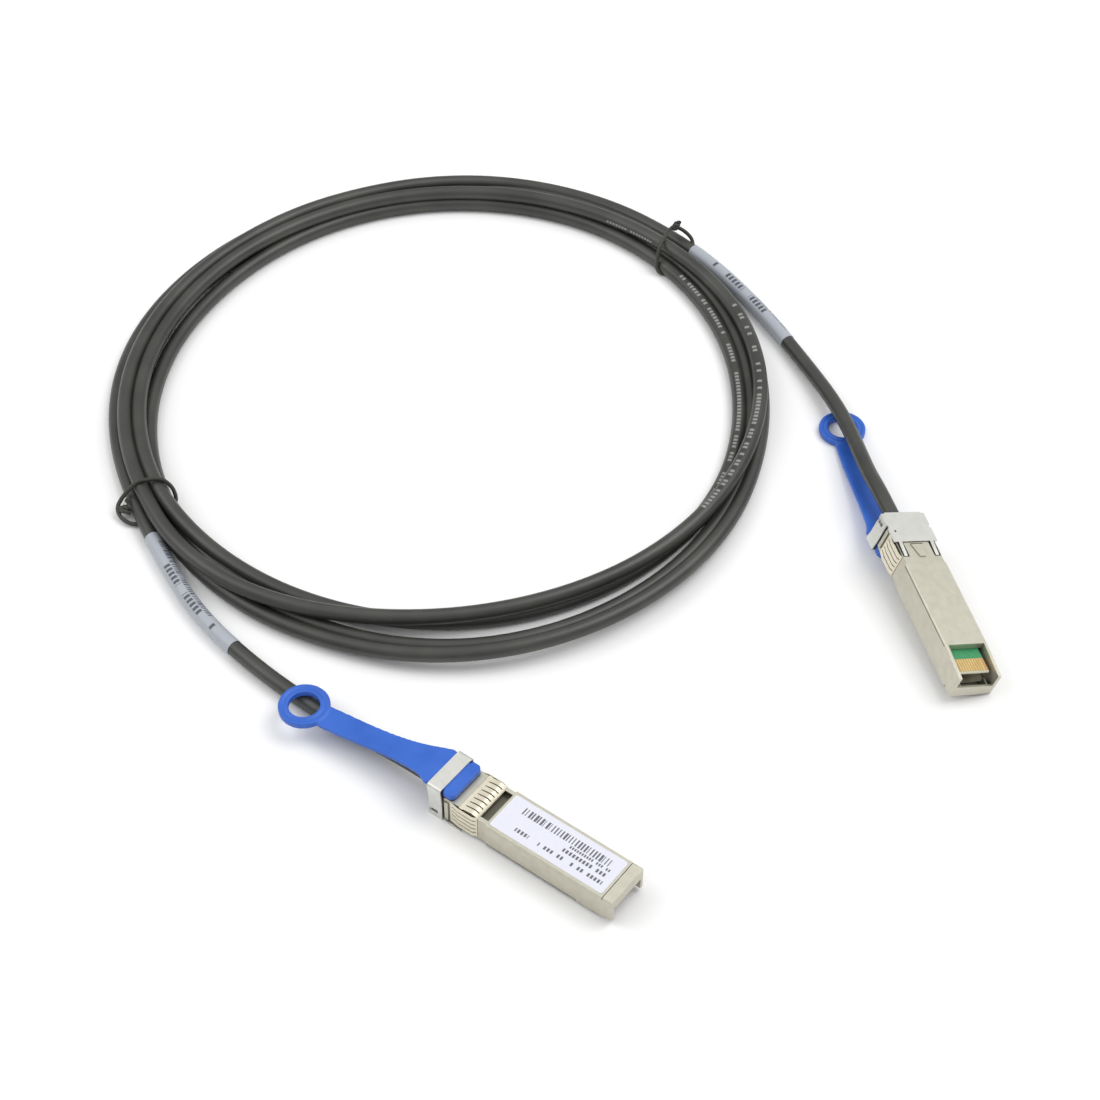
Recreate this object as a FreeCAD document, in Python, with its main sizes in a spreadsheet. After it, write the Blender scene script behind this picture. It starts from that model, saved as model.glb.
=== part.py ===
"""Direct attach copper cable: two small plug-in modules on a coiled twinaxial cable.

Both plugs come from the same functions. A plug has a frame of its own: +X towards the
insertion end, z = 0 on the latch side and the cover on top. Plug A stands on its latch
boss at the part's origin. Plug B lies upside down and leans on one corner of its nose.
"""
import os
import re
from math import cos, pi, radians, sin, tan

import FreeCAD
import Part
import Sketcher
from FreeCAD import Placement, Rotation, Vector

# Driving sizes in millimetres and degrees
SIZES = {
    # Housing
    "nose": 45.0,              # datum to the insertion end
    "shell_start": 4.9,        # where the full section begins
    "shell_width": 13.55,
    "shell_height": 8.5,
    "wall": 1.0,
    "floor_wall": 0.8,
    "mouth_length": 11.0,      # open below for this length behind the nose
    "rim_length": 1.5,         # thick rim of the floor at the mouth
    "cover_wall": 1.0,
    "bar_length": 3.0,         # bar across the nose
    "bar_depth": 3.6,
    "lip": 0.6,                # front wall of the bar, which is hollow behind it
    "gusset_place": 4.3,       # stiffening ribs behind the lip
    "gusset_width": 0.4,
    "nose_rise": 0.9,          # taper of the mouth's side walls
    "seam": 0.2,               # slit between cover and bar
    "edge_round": 0.35,
    "groove_level": 0.5,       # joint line along each side above the floor
    "groove_width": 0.25,
    "groove_depth": 0.2,
    "fit": 0.1,                # clearance of assembled pieces
    # Neck of the housing under the spring collar
    "neck_length": 13.9,
    "neck_step": 0.475,        # the neck is this much narrower on each side
    "neck_drop": 0.1,          # and this much lower than the shell
    "neck_wall": 0.6,
    "neck_floor": 1.5,
    "land_end": 8.4,           # flat land of the cover behind the collar
    "land_height": 0.2,
    "tongue": 0.6,             # locating tongue under the cover's plate
    "pan_length": 2.6,         # sunken pan in front of the collar's fingers
    "pan_depth": 1.8,
    "pan_wall": 0.6,
    "pan_side": 0.4,
    # Rear end
    "rear_end": 13.7,
    "rear_width": 11.2,
    "rear_low": 0.6,
    "rear_drop": 0.5,          # the rear block is this much lower than the shell
    "flange_start": 7.3,
    "flange_length": 1.2,
    "cable_height": 4.2,       # cable axis above the latch side
    "cable_diameter": 4.6,
    "ferrule_wall": 0.5,
    "ferrule_length": 3.9,
    "ferrule_tail": 0.4,
    # Card and what it carries
    "card_setback": 3.0,       # the card ends this far inside the nose
    "card_rear": 6.0,
    "card_width": 9.8,
    "card_bottom": 2.25,
    "card_thickness": 1.0,
    "card_bevel": 0.3,
    "ledge_start": 8.0,
    "ledge_setback": 4.0,      # the ledges end this far behind the mouth
    "ledge_overlap": 0.6,
    "contact_pitch": 0.8,
    "contact_width": 0.5,
    "contact_length": 4.1,
    "contact_setback": 0.45,
    "contact_thickness": 0.05,
    "contact_count": 10,
    "chip_start": 13.0,
    "chip_length": 5.0,
    "chip_width": 4.0,
    "chip_height": 1.2,
    "core_radius": 0.5,
    "core_pitch": 1.1,
    "core_landing": 2.5,       # length of a core on the card
    # Spring collar
    "sheet": 0.2,
    "collar_rear": 3.85,
    "collar_side_rear": 6.7,   # the sides reach further back than the top
    "collar_front": 2.1,
    "band": 1.2,
    "side_band": 0.5,
    "front_band": 0.45,
    "finger_rise": 2.2,        # length over which a finger rises to its crest
    "finger_fall": 1.0,
    "finger_bow": 0.45,
    "finger_pitch": 1.6,
    "finger_slot": 0.32,
    "top_fingers": 8,
    "side_fingers": 5,
    "collar_low": 0.6,
    # Latch boss and tine pockets
    "boss_height": 0.45,
    "boss_rear": 1.9,
    "boss_front": 2.5,
    "boss_half_rear": 2.1,
    "boss_half_front": 0.95,
    "boss_gap": 0.6,
    "pocket_depth": 0.75,
    "pocket_front": 2.3,
    # Latch bracket
    "bracket_sheet": 0.45,
    "bracket_out": 0.325,      # the arms stand out from the shell by this much
    "bracket_front": 3.0,
    "bracket_rear": 13.9,
    "bracket_notch": 0.45,
    "bracket_corner": 1.3,     # chamfer of the plate's rear corners
    "arm_front": 9.1,
    "arm_width": 4.4,
    "arm_lean": 0.5,
    "arm_knee": 6.6,           # height where the arms start to lean
    "arm_rise": 2.6,           # height of the band above the shell
    "arm_round": 1.1,
    "tine_inset": 1.6,         # middle of a tine inside the shell's side
    "tine_width": 1.1,
    "tine_front": 2.0,
    "tine_rise": 0.45,
    "tine_side": 0.5,
    "travel": 2.0,             # stroke of the latch
    "pin_setback": 0.65,
    "pin_height": 1.6,
    "pin_radius": 0.4,
    "dimple_radius": 0.35,
    # Pull tab
    "tab_thickness": 1.2,
    "hook_front": 5.9,
    "hook_length": 3.4,
    "hook_depth": 1.8,
    "hook_half": 6.3,
    "hook_corner": 0.9,
    "tab_neck_half": 5.3,
    "flare_start": 14.4,
    "flare_end": 18.4,
    "flare_half": 6.4,
    "flare_ear": 1.2,          # length of the small ears at the flare's front
    "flare_root_half": 5.8,    # half width behind the ears
    "flare_tail_half": 5.2,
    "strap_half": 3.5,
    "ring_radius": 7.1,
    "ring_hole": 4.3,
    "ring_web": 1.3,
    "ring_rim": 1.0,
    "ring_rim_height": 1.9,
    # How each tab hangs: two points along its strap, then its ring
    "strap_a1_x": -32.0,
    "strap_a1_y": -1.2,
    "strap_a1_z": 8.2,
    "strap_a2_x": -44.0,
    "strap_a2_y": -2.3,
    "strap_a2_z": 6.9,
    "ring_a_x": -59.3,
    "ring_a_y": -3.5,
    "ring_a_z": 6.1,
    "ring_a_yaw": 5.0,
    "ring_a_roll": 0.0,
    "strap_b1_x": 22.6,
    "strap_b1_y": 154.2,
    "strap_b1_z": 5.0,
    "strap_b2_x": 11.6,
    "strap_b2_y": 165.4,
    "strap_b2_z": 2.6,
    "ring_b_x": -3.3,
    "ring_b_y": 180.8,
    "ring_b_z": 1.2,
    "ring_b_yaw": -45.9,
    "ring_b_roll": 180.0,
    # Printed label on the cover of plug A
    "label_margin": 0.7,       # bare cover at each end of the label
    "label_side": 0.9,
    "label_thickness": 0.1,
    "label_round": 0.5,
    # How plug B lies
    "plug_b_x": 46.2,
    "plug_b_y": 139.85,
    "plug_b_yaw": -36.85,
    "plug_b_pitch": 4.95,
    "plug_b_roll": 164.65,
    # Coil
    "coil_x": -109.35,
    "coil_y": 118.98,
    "coil_turn": 36.55,
    "coil_inner_short": 87.8,
    "coil_inner_long": 91.8,
    "coil_outer_short": 102.7,
    "coil_outer_long": 108.6,
    "coil_height": 9.3,
    "coil_round": 3.0,
    # Wire ties and wrapped labels
    "tie_wire": 1.2,
    "tie_round": 2.5,
    "tie_left_angle": 207.0,
    "tie_right_angle": 46.0,
    "tail_radius": 1.1,
    "tail_length": 13.0,
    "tail_drop": 3.72,         # the twisted tail starts this far below the coil's top
    "tail_tilt": 19.29,        # its angle above level
    "wrap_wall": 0.3,
    "exit_run": 12.0,          # the cable leaves each plug straight for this long
}

# Cable from each plug to the coil, chosen by hand; the plug's own two points come before
LEAD_A = ((-42.0, 0.3, 2.7), (-61.0, -0.2, 2.35), (-82.5, 1.0, 2.65), (-106.8, 5.4, 2.65),
          (-130.0, 15.2, 2.65), (-154.5, 28.0, 2.65))
LEAD_B = ((16.5, 162.0, 9.3), (3.4, 175.4, 5.9), (-9.0, 185.6, 5.1), (-27.0, 197.5, 2.75),
          (-49.5, 209.3, 2.65), (-74.0, 219.3, 2.65), (-98.0, 221.6, 5.2))

BEND_SHARE = 0.45              # share of the shorter run beside it that a bend takes
TOLERANCE = 0.001

doc = FreeCAD.newDocument("DirectAttachCable")
sheet = doc.addObject("Spreadsheet::Sheet", "Sizes")
answer = doc.addObject("Spreadsheet::Sheet", "Answer")
nodes = []


def fill_sheet():
    """Write every driving size to the spreadsheet under its own alias."""
    for row, (name, size) in enumerate(SIZES.items(), 1):
        sheet.set(f"A{row}", name)
        sheet.set(f"B{row}", str(size))
        sheet.setAlias(f"B{row}", name)
    doc.recompute()


def bound(expression):
    """Point the size names in an expression at the spreadsheet."""
    return re.sub(r"[a-z]\w*", lambda name: f"<<Sizes>>.{name.group()}", expression)


def value(expression):
    """The number that an expression in the sheet's names comes to."""
    answer.set("A1", f"={bound(expression)}")
    answer.recompute()
    return float(answer.get("A1"))


def spot(stem):
    """The point whose coordinates the sheet holds under a stem."""
    return Vector(*(value(f"{stem}_{axis}") for axis in "xyz"))


def block(name, across_x, across_y, across_z):
    """A box between a low and a high expression on each axis."""
    box = doc.addObject("Part::Box", name)
    for side, axis, (low, high) in zip(("Length", "Width", "Height"), "xyz",
                                       (across_x, across_y, across_z)):
        box.setExpression(side, bound(f"({high}) - ({low})"))
        box.setExpression(f"Placement.Base.{axis}", bound(low))
    return box


def centred(half):
    """The low and high expression of a piece that is centred on the plug's middle."""
    return f"-({half})", half


def twin_blocks(name, across_x, across_y, across_z):
    """The same box on both sides of the plug's middle."""
    low, high = across_y
    return [block(f"{name}_left", across_x, (low, high), across_z),
            block(f"{name}_right", across_x, (f"-({high})", f"-({low})"), across_z)]


def rod(name, radius, length, place, along):
    """A cylinder of given radius and length that starts at a place and runs along an axis."""
    cylinder = doc.addObject("Part::Cylinder", name)
    cylinder.Placement.Rotation = Rotation(Vector(0, 0, 1), along)
    cylinder.setExpression("Radius", bound(radius))
    cylinder.setExpression("Height", bound(length))
    for axis, expression in zip("xyz", place):
        cylinder.setExpression(f"Placement.Base.{axis}", bound(expression))
    return cylinder


def outline_sketch(sketch, outline):
    """Draw a closed outline whose corners are bound to expressions."""
    corners = [Vector(value(x), value(y), 0) for x, y in outline]
    count = len(corners)
    for start, end in zip(corners, corners[1:] + corners[:1]):
        sketch.addGeometry(Part.LineSegment(start, end))
    for index in range(count):
        sketch.addConstraint(
            Sketcher.Constraint("Coincident", index, 2, (index + 1) % count, 1))
    for index, ((x, y), corner) in enumerate(zip(outline, corners)):
        for kind, expression, size in (("DistanceX", x, corner.x), ("DistanceY", y, corner.y)):
            number = sketch.addConstraint(
                Sketcher.Constraint(kind, -1, 1, index, 1, size))
            sketch.setExpression(f"Constraints[{number}]", bound(expression))


def prism(name, plane, outline, length):
    """A body padded from an outline to both sides of one of its origin planes."""
    body = doc.addObject("PartDesign::Body", name)
    sketch = body.newObject("Sketcher::SketchObject", f"{name}_sketch")
    base = next(item for item in body.Origin.OriginFeatures if item.Role == f"{plane}_Plane")
    sketch.AttachmentSupport = [(base, "")]
    sketch.MapMode = "FlatFace"
    outline_sketch(sketch, outline)
    pad = body.newObject("PartDesign::Pad", f"{name}_pad")
    pad.Profile = sketch
    pad.Midplane = True
    pad.setExpression("Length", bound(length))
    return body


def shifted(body, axis, expression):
    """Move a body along one axis by an expression."""
    body.setExpression(f"Placement.Base.{axis}", bound(expression))
    return body


def fuse(name, pieces):
    """Join pieces that meet."""
    union = doc.addObject("Part::MultiFuse", name)
    union.Shapes = pieces
    union.Refine = True
    return union


def cut(name, base, tools):
    """Take tools away from a base."""
    result = doc.addObject("Part::Cut", name)
    result.Base = base
    result.Tool = tools[0] if len(tools) == 1 else fuse(f"{name}_tools", tools)
    result.Refine = True
    return result


def rounded(name, base, radius, chosen):
    """Fillet the edges of a base for which the test is true."""
    doc.recompute()
    fillet = doc.addObject("Part::Fillet", name)
    fillet.Base = base
    size = value(radius)
    fillet.Edges = [(number, size, size)
                    for number, edge in enumerate(base.Shape.Edges, 1) if chosen(edge)]
    return fillet


def keep(node, feature, seat=Placement()):
    """Name a finished sub-part after its node and put it in its place."""
    feature.Label = node
    feature.Placement = seat
    nodes.append(feature)


def along_x(edge):
    """Whether an edge runs straight along X."""
    straight = edge.Curve.TypeId == "Part::GeomLine"
    return straight and abs(edge.tangentAt(edge.FirstParameter).x) > 1 - TOLERANCE


# The plug's pieces

INNER_HALF = "shell_width / 2 - wall"
MOUTH_START = "nose - mouth_length"
NECK_HALF = "shell_width / 2 - neck_step"
NECK_TOP = "shell_height - neck_drop"
NECK_REAR = "shell_start - neck_length"
REAR_TOP = "shell_height - rear_drop"
COVER_SPLIT = "shell_height - cover_wall"
NECK_SPLIT = "shell_height - neck_drop - cover_wall"
COVER_END = "nose - bar_length - seam"
CARD_TOP = "card_bottom + card_thickness"
CARD_FRONT = "nose - card_setback"
BRACKET_HALF = "shell_width / 2 + bracket_out"
ARM_TOP = "shell_height + arm_rise"
BAND_UNDERSIDE = "shell_height + arm_rise - bracket_sheet"
TINE_CENTRE = "shell_width / 2 - tine_inset"
LABEL_SPAN = ("shell_start + label_margin", f"{COVER_END} - label_margin")
LABEL_HALF = "shell_width / 2 - label_side"


def base_shell(tag, seat):
    """Die-cast lower half: open channel, tapered mouth, neck, rear block and latch boss."""
    name = f"base_{tag}"
    outer = block(f"{name}_outer", ("shell_start", "nose"), centred("shell_width / 2"),
                  ("0", COVER_SPLIT))
    outer = rounded(f"{name}_round", outer, "edge_round",
                    lambda edge: along_x(edge) and edge.BoundBox.ZMin < TOLERANCE)
    bar = block(f"{name}_bar", ("nose - bar_length", "nose"), centred("shell_width / 2"),
                ("shell_height - bar_depth", "shell_height"))
    bar = rounded(f"{name}_bar_round", bar, "edge_round",
                  lambda edge: along_x(edge) and edge.BoundBox.ZMin > value(COVER_SPLIT))
    bar = cut(f"{name}_bar_shell", bar,
              [block(f"{name}_bar_hollow", ("nose - bar_length - wall", "nose - lip"),
                     centred(INNER_HALF), ("shell_height - bar_depth - wall", COVER_SPLIT))])
    gussets = twin_blocks(f"{name}_gusset", ("nose - bar_length", "nose - lip / 2"),
                          ("gusset_place - gusset_width / 2", "gusset_place + gusset_width / 2"),
                          ("shell_height - bar_depth", f"{COVER_SPLIT} + cover_wall / 2"))
    cavity = block(f"{name}_cavity", ("shell_start + wall", "nose + wall"), centred(INNER_HALF),
                   ("floor_wall", "shell_height"))
    mouth = block(f"{name}_mouth", (MOUTH_START, "nose + wall"), centred(INNER_HALF),
                  ("-wall", "shell_height"))
    rim = block(f"{name}_rim", (f"{MOUTH_START} - rim_length", MOUTH_START),
                centred(f"{INNER_HALF} + wall / 2"), ("floor_wall / 2", "card_bottom - fit"))
    taper = prism(f"{name}_taper", "XZ",
                  ((MOUTH_START, "-wall"), (MOUTH_START, "0"), ("nose", "nose_rise"),
                   ("nose + wall", "nose_rise"), ("nose + wall", "-wall")), "2 * shell_width")
    shell = cut(f"{name}_shell", outer, [cavity, mouth, taper])
    neck = cut(f"{name}_neck",
               block(f"{name}_neck_outer", (NECK_REAR, "shell_start"), centred(NECK_HALF),
                     ("0", NECK_SPLIT)),
               [block(f"{name}_neck_inner", (f"{NECK_REAR} + wall", "shell_start + wall"),
                      centred(f"{NECK_HALF} - neck_wall"), ("neck_floor", "shell_height"))])
    rear = block(f"{name}_rear", ("-rear_end", f"{NECK_REAR} + wall"), centred("rear_width / 2"),
                 ("rear_low", f"{REAR_TOP} - cover_wall"))
    rear_cap = block(f"{name}_rear_cap", ("-rear_end", f"{NECK_REAR} - fit"),
                     centred("rear_width / 2"), (f"{REAR_TOP} - cover_wall - wall", REAR_TOP))
    flanges = twin_blocks(f"{name}_flange", ("-flange_start - flange_length", "-flange_start"),
                          (f"{NECK_HALF} - neck_wall / 2", "shell_width / 2"),
                          ("rear_low", NECK_SPLIT))
    ledges = twin_blocks(f"{name}_ledge", ("ledge_start", f"{MOUTH_START} - ledge_setback"),
                         ("card_width / 2 - ledge_overlap", "shell_width / 2 - wall / 2"),
                         ("floor_wall / 2", "card_bottom"))
    pins = [rod(f"{name}_pin_{side}", "pin_radius",
                f"{BRACKET_HALF} - rear_width / 2 + wall - fit",
                ("-rear_end + pin_setback", f"{sign} (rear_width / 2 - wall)", "pin_height"),
                Vector(0, 1 if side == "left" else -1, 0))
            for side, sign in (("left", ""), ("right", "-"))]
    boss = prism(f"{name}_boss", "XY",
                 (("-boss_rear", "-boss_half_rear"), ("boss_front", "-boss_half_front"),
                  ("boss_front", "boss_half_front"), ("-boss_rear", "boss_half_rear")),
                 "2 * boss_height")
    whole = fuse(f"{name}_whole",
                 [shell, bar, rim, neck, rear, rear_cap, boss] + gussets + flanges + ledges + pins)
    bore = rod(f"{name}_bore", "cable_diameter / 2 + ferrule_wall + fit", "rear_end",
               ("-rear_end - wall", "0", "cable_height"), Vector(1, 0, 0))
    slot = block(f"{name}_slot", (NECK_REAR, "shell_start + 2 * wall"),
                 centred("card_width / 2 + fit"), ("card_bottom - fit", NECK_SPLIT))
    relief = block(f"{name}_relief", ("-rear_end - wall", "-bracket_front + fit"),
                   centred("shell_width"), ("-wall", "fit"))
    pockets = twin_blocks(f"{name}_pocket",
                          ("-bracket_front - travel - 4 * fit", "pocket_front"),
                          (f"{TINE_CENTRE} - tine_width / 2 - tine_side",
                           f"{TINE_CENTRE} + tine_width / 2 + tine_side"),
                          ("-wall", "pocket_depth"))
    gap = block(f"{name}_gap", ("-boss_rear - boss_gap", "-boss_rear"), centred("boss_half_rear"),
                ("-wall", "pocket_depth"))
    grooves = twin_blocks(f"{name}_groove", ("shell_start", MOUTH_START),
                          ("shell_width / 2 - groove_depth", "shell_width / 2 + wall"),
                          ("groove_level", "groove_level + groove_width"))
    keep(f"base_shell_{tag}",
         cut(name, whole, [bore, slot, relief, gap] + pockets + grooves), seat)


def cover_shell(tag, seat):
    """Cover: label plate with a locating tongue, sunken pan and flat land behind the collar."""
    name = f"cover_{tag}"
    plate = block(f"{name}_plate", ("shell_start", COVER_END), centred("shell_width / 2"),
                  (COVER_SPLIT, "shell_height"))
    plate = rounded(f"{name}_round", plate, "edge_round",
                    lambda edge: along_x(edge) and edge.BoundBox.ZMin > value(COVER_SPLIT))
    tongue = block(f"{name}_tongue", ("shell_start + wall + fit", COVER_END),
                   centred(f"{INNER_HALF} - fit"), (f"{COVER_SPLIT} - tongue", COVER_SPLIT))
    rear = block(f"{name}_rear", (NECK_REAR, "shell_start"), centred(NECK_HALF),
                 (NECK_SPLIT, NECK_TOP))
    land = block(f"{name}_land", ("-land_end", "-collar_rear - fit / 2"), centred(NECK_HALF),
                 (NECK_SPLIT, f"{NECK_TOP} + land_height"))
    tray = block(f"{name}_tray",
                 ("shell_start - pan_length - pan_wall", "shell_start"),
                 centred(f"{NECK_HALF} - neck_wall - fit"),
                 (f"{NECK_TOP} - pan_depth - pan_wall", NECK_TOP))
    pan = block(f"{name}_pan", ("shell_start - pan_length", "shell_start - fit"),
                centred(f"{NECK_HALF} - neck_wall - fit - pan_side"),
                (f"{NECK_TOP} - pan_depth", "shell_height"))
    recess = block(f"{name}_recess", LABEL_SPAN, centred(LABEL_HALF),
                   ("shell_height - label_thickness", "shell_height + wall"))
    keep(f"cover_shell_{tag}",
         cut(name, fuse(f"{name}_whole", [plate, tongue, rear, land, tray]), [pan, recess]), seat)


def finger_sheet(name, rear, band, count, half_width):
    """A flat run of collar sheet with bowed fingers between its two bands, lying on z = 0."""
    start = f"-({rear})"
    root = f"{start} + {band}"
    tip = "collar_front - front_band"
    crest_rear = f"{root} + finger_rise"
    crest_front = f"{tip} - finger_fall"
    strip = prism(f"{name}_strip", "XZ",
                  ((start, "0"), (root, "0"), (crest_rear, "finger_bow"),
                   (crest_front, "finger_bow"), (tip, "0"), ("collar_front", "0"),
                   ("collar_front", "sheet"), (tip, "sheet"), (crest_front, "finger_bow + sheet"),
                   (crest_rear, "finger_bow + sheet"), (root, "sheet"), (start, "sheet")),
                  f"2 * ({half_width})")
    slots = [block(f"{name}_slot_{number}", (root, tip),
                   (f"{number - count / 2} * finger_pitch - finger_slot / 2",
                    f"{number - count / 2} * finger_pitch + finger_slot / 2"),
                   ("-sheet", "finger_bow + 2 * sheet"))
             for number in range(1, count)]
    return cut(f"{name}_fingers", strip, slots)


def emi_collar(tag, seat):
    """Spring collar: one folded sheet round three sides of the neck, with bowed fingers."""
    name = f"collar_{tag}"
    top = finger_sheet(f"{name}_top", "collar_rear", "band", int(SIZES["top_fingers"]), NECK_HALF)
    top.setExpression("Placement.Base.z", bound(NECK_TOP))
    sides = []
    for side, turn, sign in (("left", -90, ""), ("right", 90, "-")):
        sheet_side = finger_sheet(f"{name}_{side}", "collar_side_rear", "side_band",
                                  int(SIZES["side_fingers"]), f"({NECK_TOP} - collar_low) / 2")
        sheet_side.Placement.Rotation = Rotation(Vector(1, 0, 0), turn)
        sheet_side.setExpression("Placement.Base.y", bound(f"{sign} ({NECK_HALF})"))
        sheet_side.setExpression("Placement.Base.z", bound(f"({NECK_TOP} + collar_low) / 2"))
        sides.append(sheet_side)
    corners = [item
               for part, x in (("band", ("-collar_rear", "-collar_rear + band")),
                               ("lip", ("collar_front - front_band", "collar_front")))
               for item in twin_blocks(f"{name}_{part}", x, (NECK_HALF, f"{NECK_HALF} + sheet"),
                                       (NECK_TOP, f"{NECK_TOP} + sheet"))]
    keep(f"emi_collar_{tag}", fuse(name, [top] + sides + corners), seat)


def paddle_card(tag, seat):
    """Circuit card with a bevelled mating edge."""
    card = prism(f"card_{tag}", "XZ",
                 (("-card_rear", "card_bottom"), (f"{CARD_FRONT} - card_bevel", "card_bottom"),
                  (CARD_FRONT, "card_bottom + card_bevel"),
                  (CARD_FRONT, f"{CARD_TOP} - card_bevel"),
                  (f"{CARD_FRONT} - card_bevel", CARD_TOP), ("-card_rear", CARD_TOP)),
                 "card_width")
    keep(f"paddle_card_{tag}", card, seat)


def gold_contacts(tag, seat):
    """Contact pads on both faces of the card."""
    front = f"{CARD_FRONT} - contact_setback"
    faces = (("upper", (CARD_TOP, f"{CARD_TOP} + contact_thickness")),
             ("lower", ("card_bottom - contact_thickness", "card_bottom")))
    count = int(SIZES["contact_count"])
    pads = doc.addObject("Part::Compound", f"contacts_{tag}")
    pads.Links = [
        block(f"contact_{tag}_{face}_{number}", (f"{front} - contact_length", front),
              (f"{number - (count - 1) / 2} * contact_pitch - contact_width / 2",
               f"{number - (count - 1) / 2} * contact_pitch + contact_width / 2"), across_z)
        for face, across_z in faces for number in range(count)]
    keep(f"gold_contacts_{tag}", pads, seat)


def memory_chip(tag, seat):
    """Identification chip on the card."""
    chip = block(f"chip_{tag}", ("chip_start", "chip_start + chip_length"),
                 centred("chip_width / 2"), (CARD_TOP, f"{CARD_TOP} + chip_height"))
    keep(f"memory_chip_{tag}", fuse(f"chip_{tag}_whole", [chip, block(
        f"chip_{tag}_frame", ("chip_start + chip_length / 8", "chip_start + chip_length * 7 / 8"),
        centred("chip_width / 2 + wall"), (CARD_TOP, f"{CARD_TOP} + sheet"))]), seat)


def twinax_cores(tag, seat):
    """Four cores that fan out of the cable's end on to the card."""
    rear = "-rear_end - ferrule_tail"
    stub = rod(f"cores_{tag}_stub", "cable_diameter / 2 - fit", "ferrule_length",
               (rear, "0", "cable_height"), Vector(1, 0, 0))
    cores = [rod(f"cores_{tag}_{number}", "core_radius",
                 "rear_end + ferrule_tail - card_rear - ferrule_length + core_landing + fit",
                 (f"{rear} + ferrule_length - fit", f"{number - 1.5} * core_pitch",
                  f"{CARD_TOP} + core_radius"), Vector(1, 0, 0))
             for number in range(4)]
    keep(f"twinax_cores_{tag}", fuse(f"cores_{tag}", [stub] + cores), seat)


def crimp_ferrule(tag, seat):
    """Crimped sleeve that holds the cable in the rear block."""
    start = ("-rear_end - ferrule_tail", "0", "cable_height")
    outer = rod(f"ferrule_{tag}_outer", "cable_diameter / 2 + ferrule_wall", "ferrule_length",
                start, Vector(1, 0, 0))
    bore = rod(f"ferrule_{tag}_bore", "cable_diameter / 2", "ferrule_length", start,
               Vector(1, 0, 0))
    keep(f"crimp_ferrule_{tag}", cut(f"ferrule_{tag}", outer, [bore]), seat)


def latch_bracket(tag, seat):
    """Sheet-metal latch: base plate, leaning arms, band over the tab and two release tines."""
    name = f"bracket_{tag}"
    waist = f"{BRACKET_HALF} - bracket_notch"
    right = (("-bracket_front", BRACKET_HALF), ("-arm_front + arm_width / 4", BRACKET_HALF),
             ("-arm_front + arm_width / 4", waist), ("-arm_front", waist),
             ("-arm_front", BRACKET_HALF), ("-bracket_rear + bracket_corner", BRACKET_HALF),
             ("-bracket_rear", f"{BRACKET_HALF} - bracket_corner"))
    outline = right + tuple((x, f"-({y})") for x, y in reversed(right))
    plate = shifted(prism(f"{name}_plate", "XY", outline, "bracket_sheet"), "z",
                    "-bracket_sheet / 2")
    arm = prism(f"{name}_arms", "XZ",
                (("-arm_front - arm_width", "-bracket_sheet"), ("-arm_front", "-bracket_sheet"),
                 ("-arm_front", "arm_knee"), ("-arm_front - arm_lean", ARM_TOP),
                 ("-arm_front - arm_lean - arm_width", ARM_TOP),
                 ("-arm_front - arm_width", "arm_knee")), f"2 * ({BRACKET_HALF})")
    arm = rounded(f"{name}_arm_round", arm, "arm_round",
                  lambda edge: along_x(edge) and edge.BoundBox.ZMin > value("shell_height"))
    hollow = block(f"{name}_hollow", ("-arm_front - 2 * arm_width", "0"),
                   centred(f"{BRACKET_HALF} - bracket_sheet"), ("0", BAND_UNDERSIDE))
    window = block(f"{name}_window",
                   ("-rear_end + pin_setback - pin_radius - fit",
                    "-rear_end + pin_setback + pin_radius + travel + fit"),
                   centred(f"2 * ({BRACKET_HALF})"), ("pin_height - pin_radius - 2 * fit",
                                                      "pin_height + pin_radius + 2 * fit"))
    tines = [shifted(prism(f"{name}_tine_{side}", "XZ",
                           (("-bracket_front - bracket_sheet", "-bracket_sheet"),
                            ("-bracket_front", "-bracket_sheet"),
                            ("tine_front", "tine_rise - bracket_sheet"),
                            ("tine_front", "tine_rise"), ("-bracket_front", "0"),
                            ("-bracket_front - bracket_sheet", "0")), "tine_width"),
                     "y", f"{sign} ({TINE_CENTRE})")
             for side, sign in (("left", ""), ("right", "-"))]
    dimple = rod(f"{name}_dimple", "dimple_radius", "wall",
                 ("-arm_front + arm_width / 2", TINE_CENTRE, "-wall"), Vector(0, 0, 1))
    frame = cut(f"{name}_frame", arm, [hollow, window])
    whole = fuse(f"{name}_whole", [frame, plate] + tines)
    keep(f"latch_bracket_{tag}", cut(name, whole, [dimple]), seat)


def strap_section(name, half_width, place):
    """A rectangular strap section whose sketch plane faces along the strap."""
    sketch = doc.addObject("Sketcher::SketchObject", name)
    outline_sketch(sketch, ((f"-({half_width})", "-tab_thickness / 2"),
                            (half_width, "-tab_thickness / 2"),
                            (half_width, "tab_thickness / 2"),
                            (f"-({half_width})", "tab_thickness / 2")))
    sketch.Placement = place
    return sketch


def tab_plate(name, seat):
    """The tab's flat end: deep hook, neck under the metal band and flare with small ears."""
    parts = []
    hook = (("-hook_front", "hook_half - hook_corner"),
            ("-hook_front - hook_corner", "hook_half"), ("-hook_front - hook_length", "hook_half"))
    flat = (("-hook_front - hook_length / 2", "tab_neck_half"), ("-flare_start", "tab_neck_half"),
            ("-flare_start", "flare_half"), ("-flare_start - flare_ear", "flare_half"),
            ("-flare_start - 2 * flare_ear", "flare_root_half"), ("-flare_end", "flare_tail_half"))
    for part, side, depth in (("hook", hook, "hook_depth"), ("flat", flat, "tab_thickness")):
        outline = side + tuple((x, f"-({y})") for x, y in reversed(side))
        plate = prism(f"{name}_{part}", "XY", outline, depth)
        plate.Placement = seat * Placement(
            Vector(0, 0, value(f"{BAND_UNDERSIDE} - {depth} / 2")), Rotation())
        parts.append(plate)
    return parts


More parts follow.
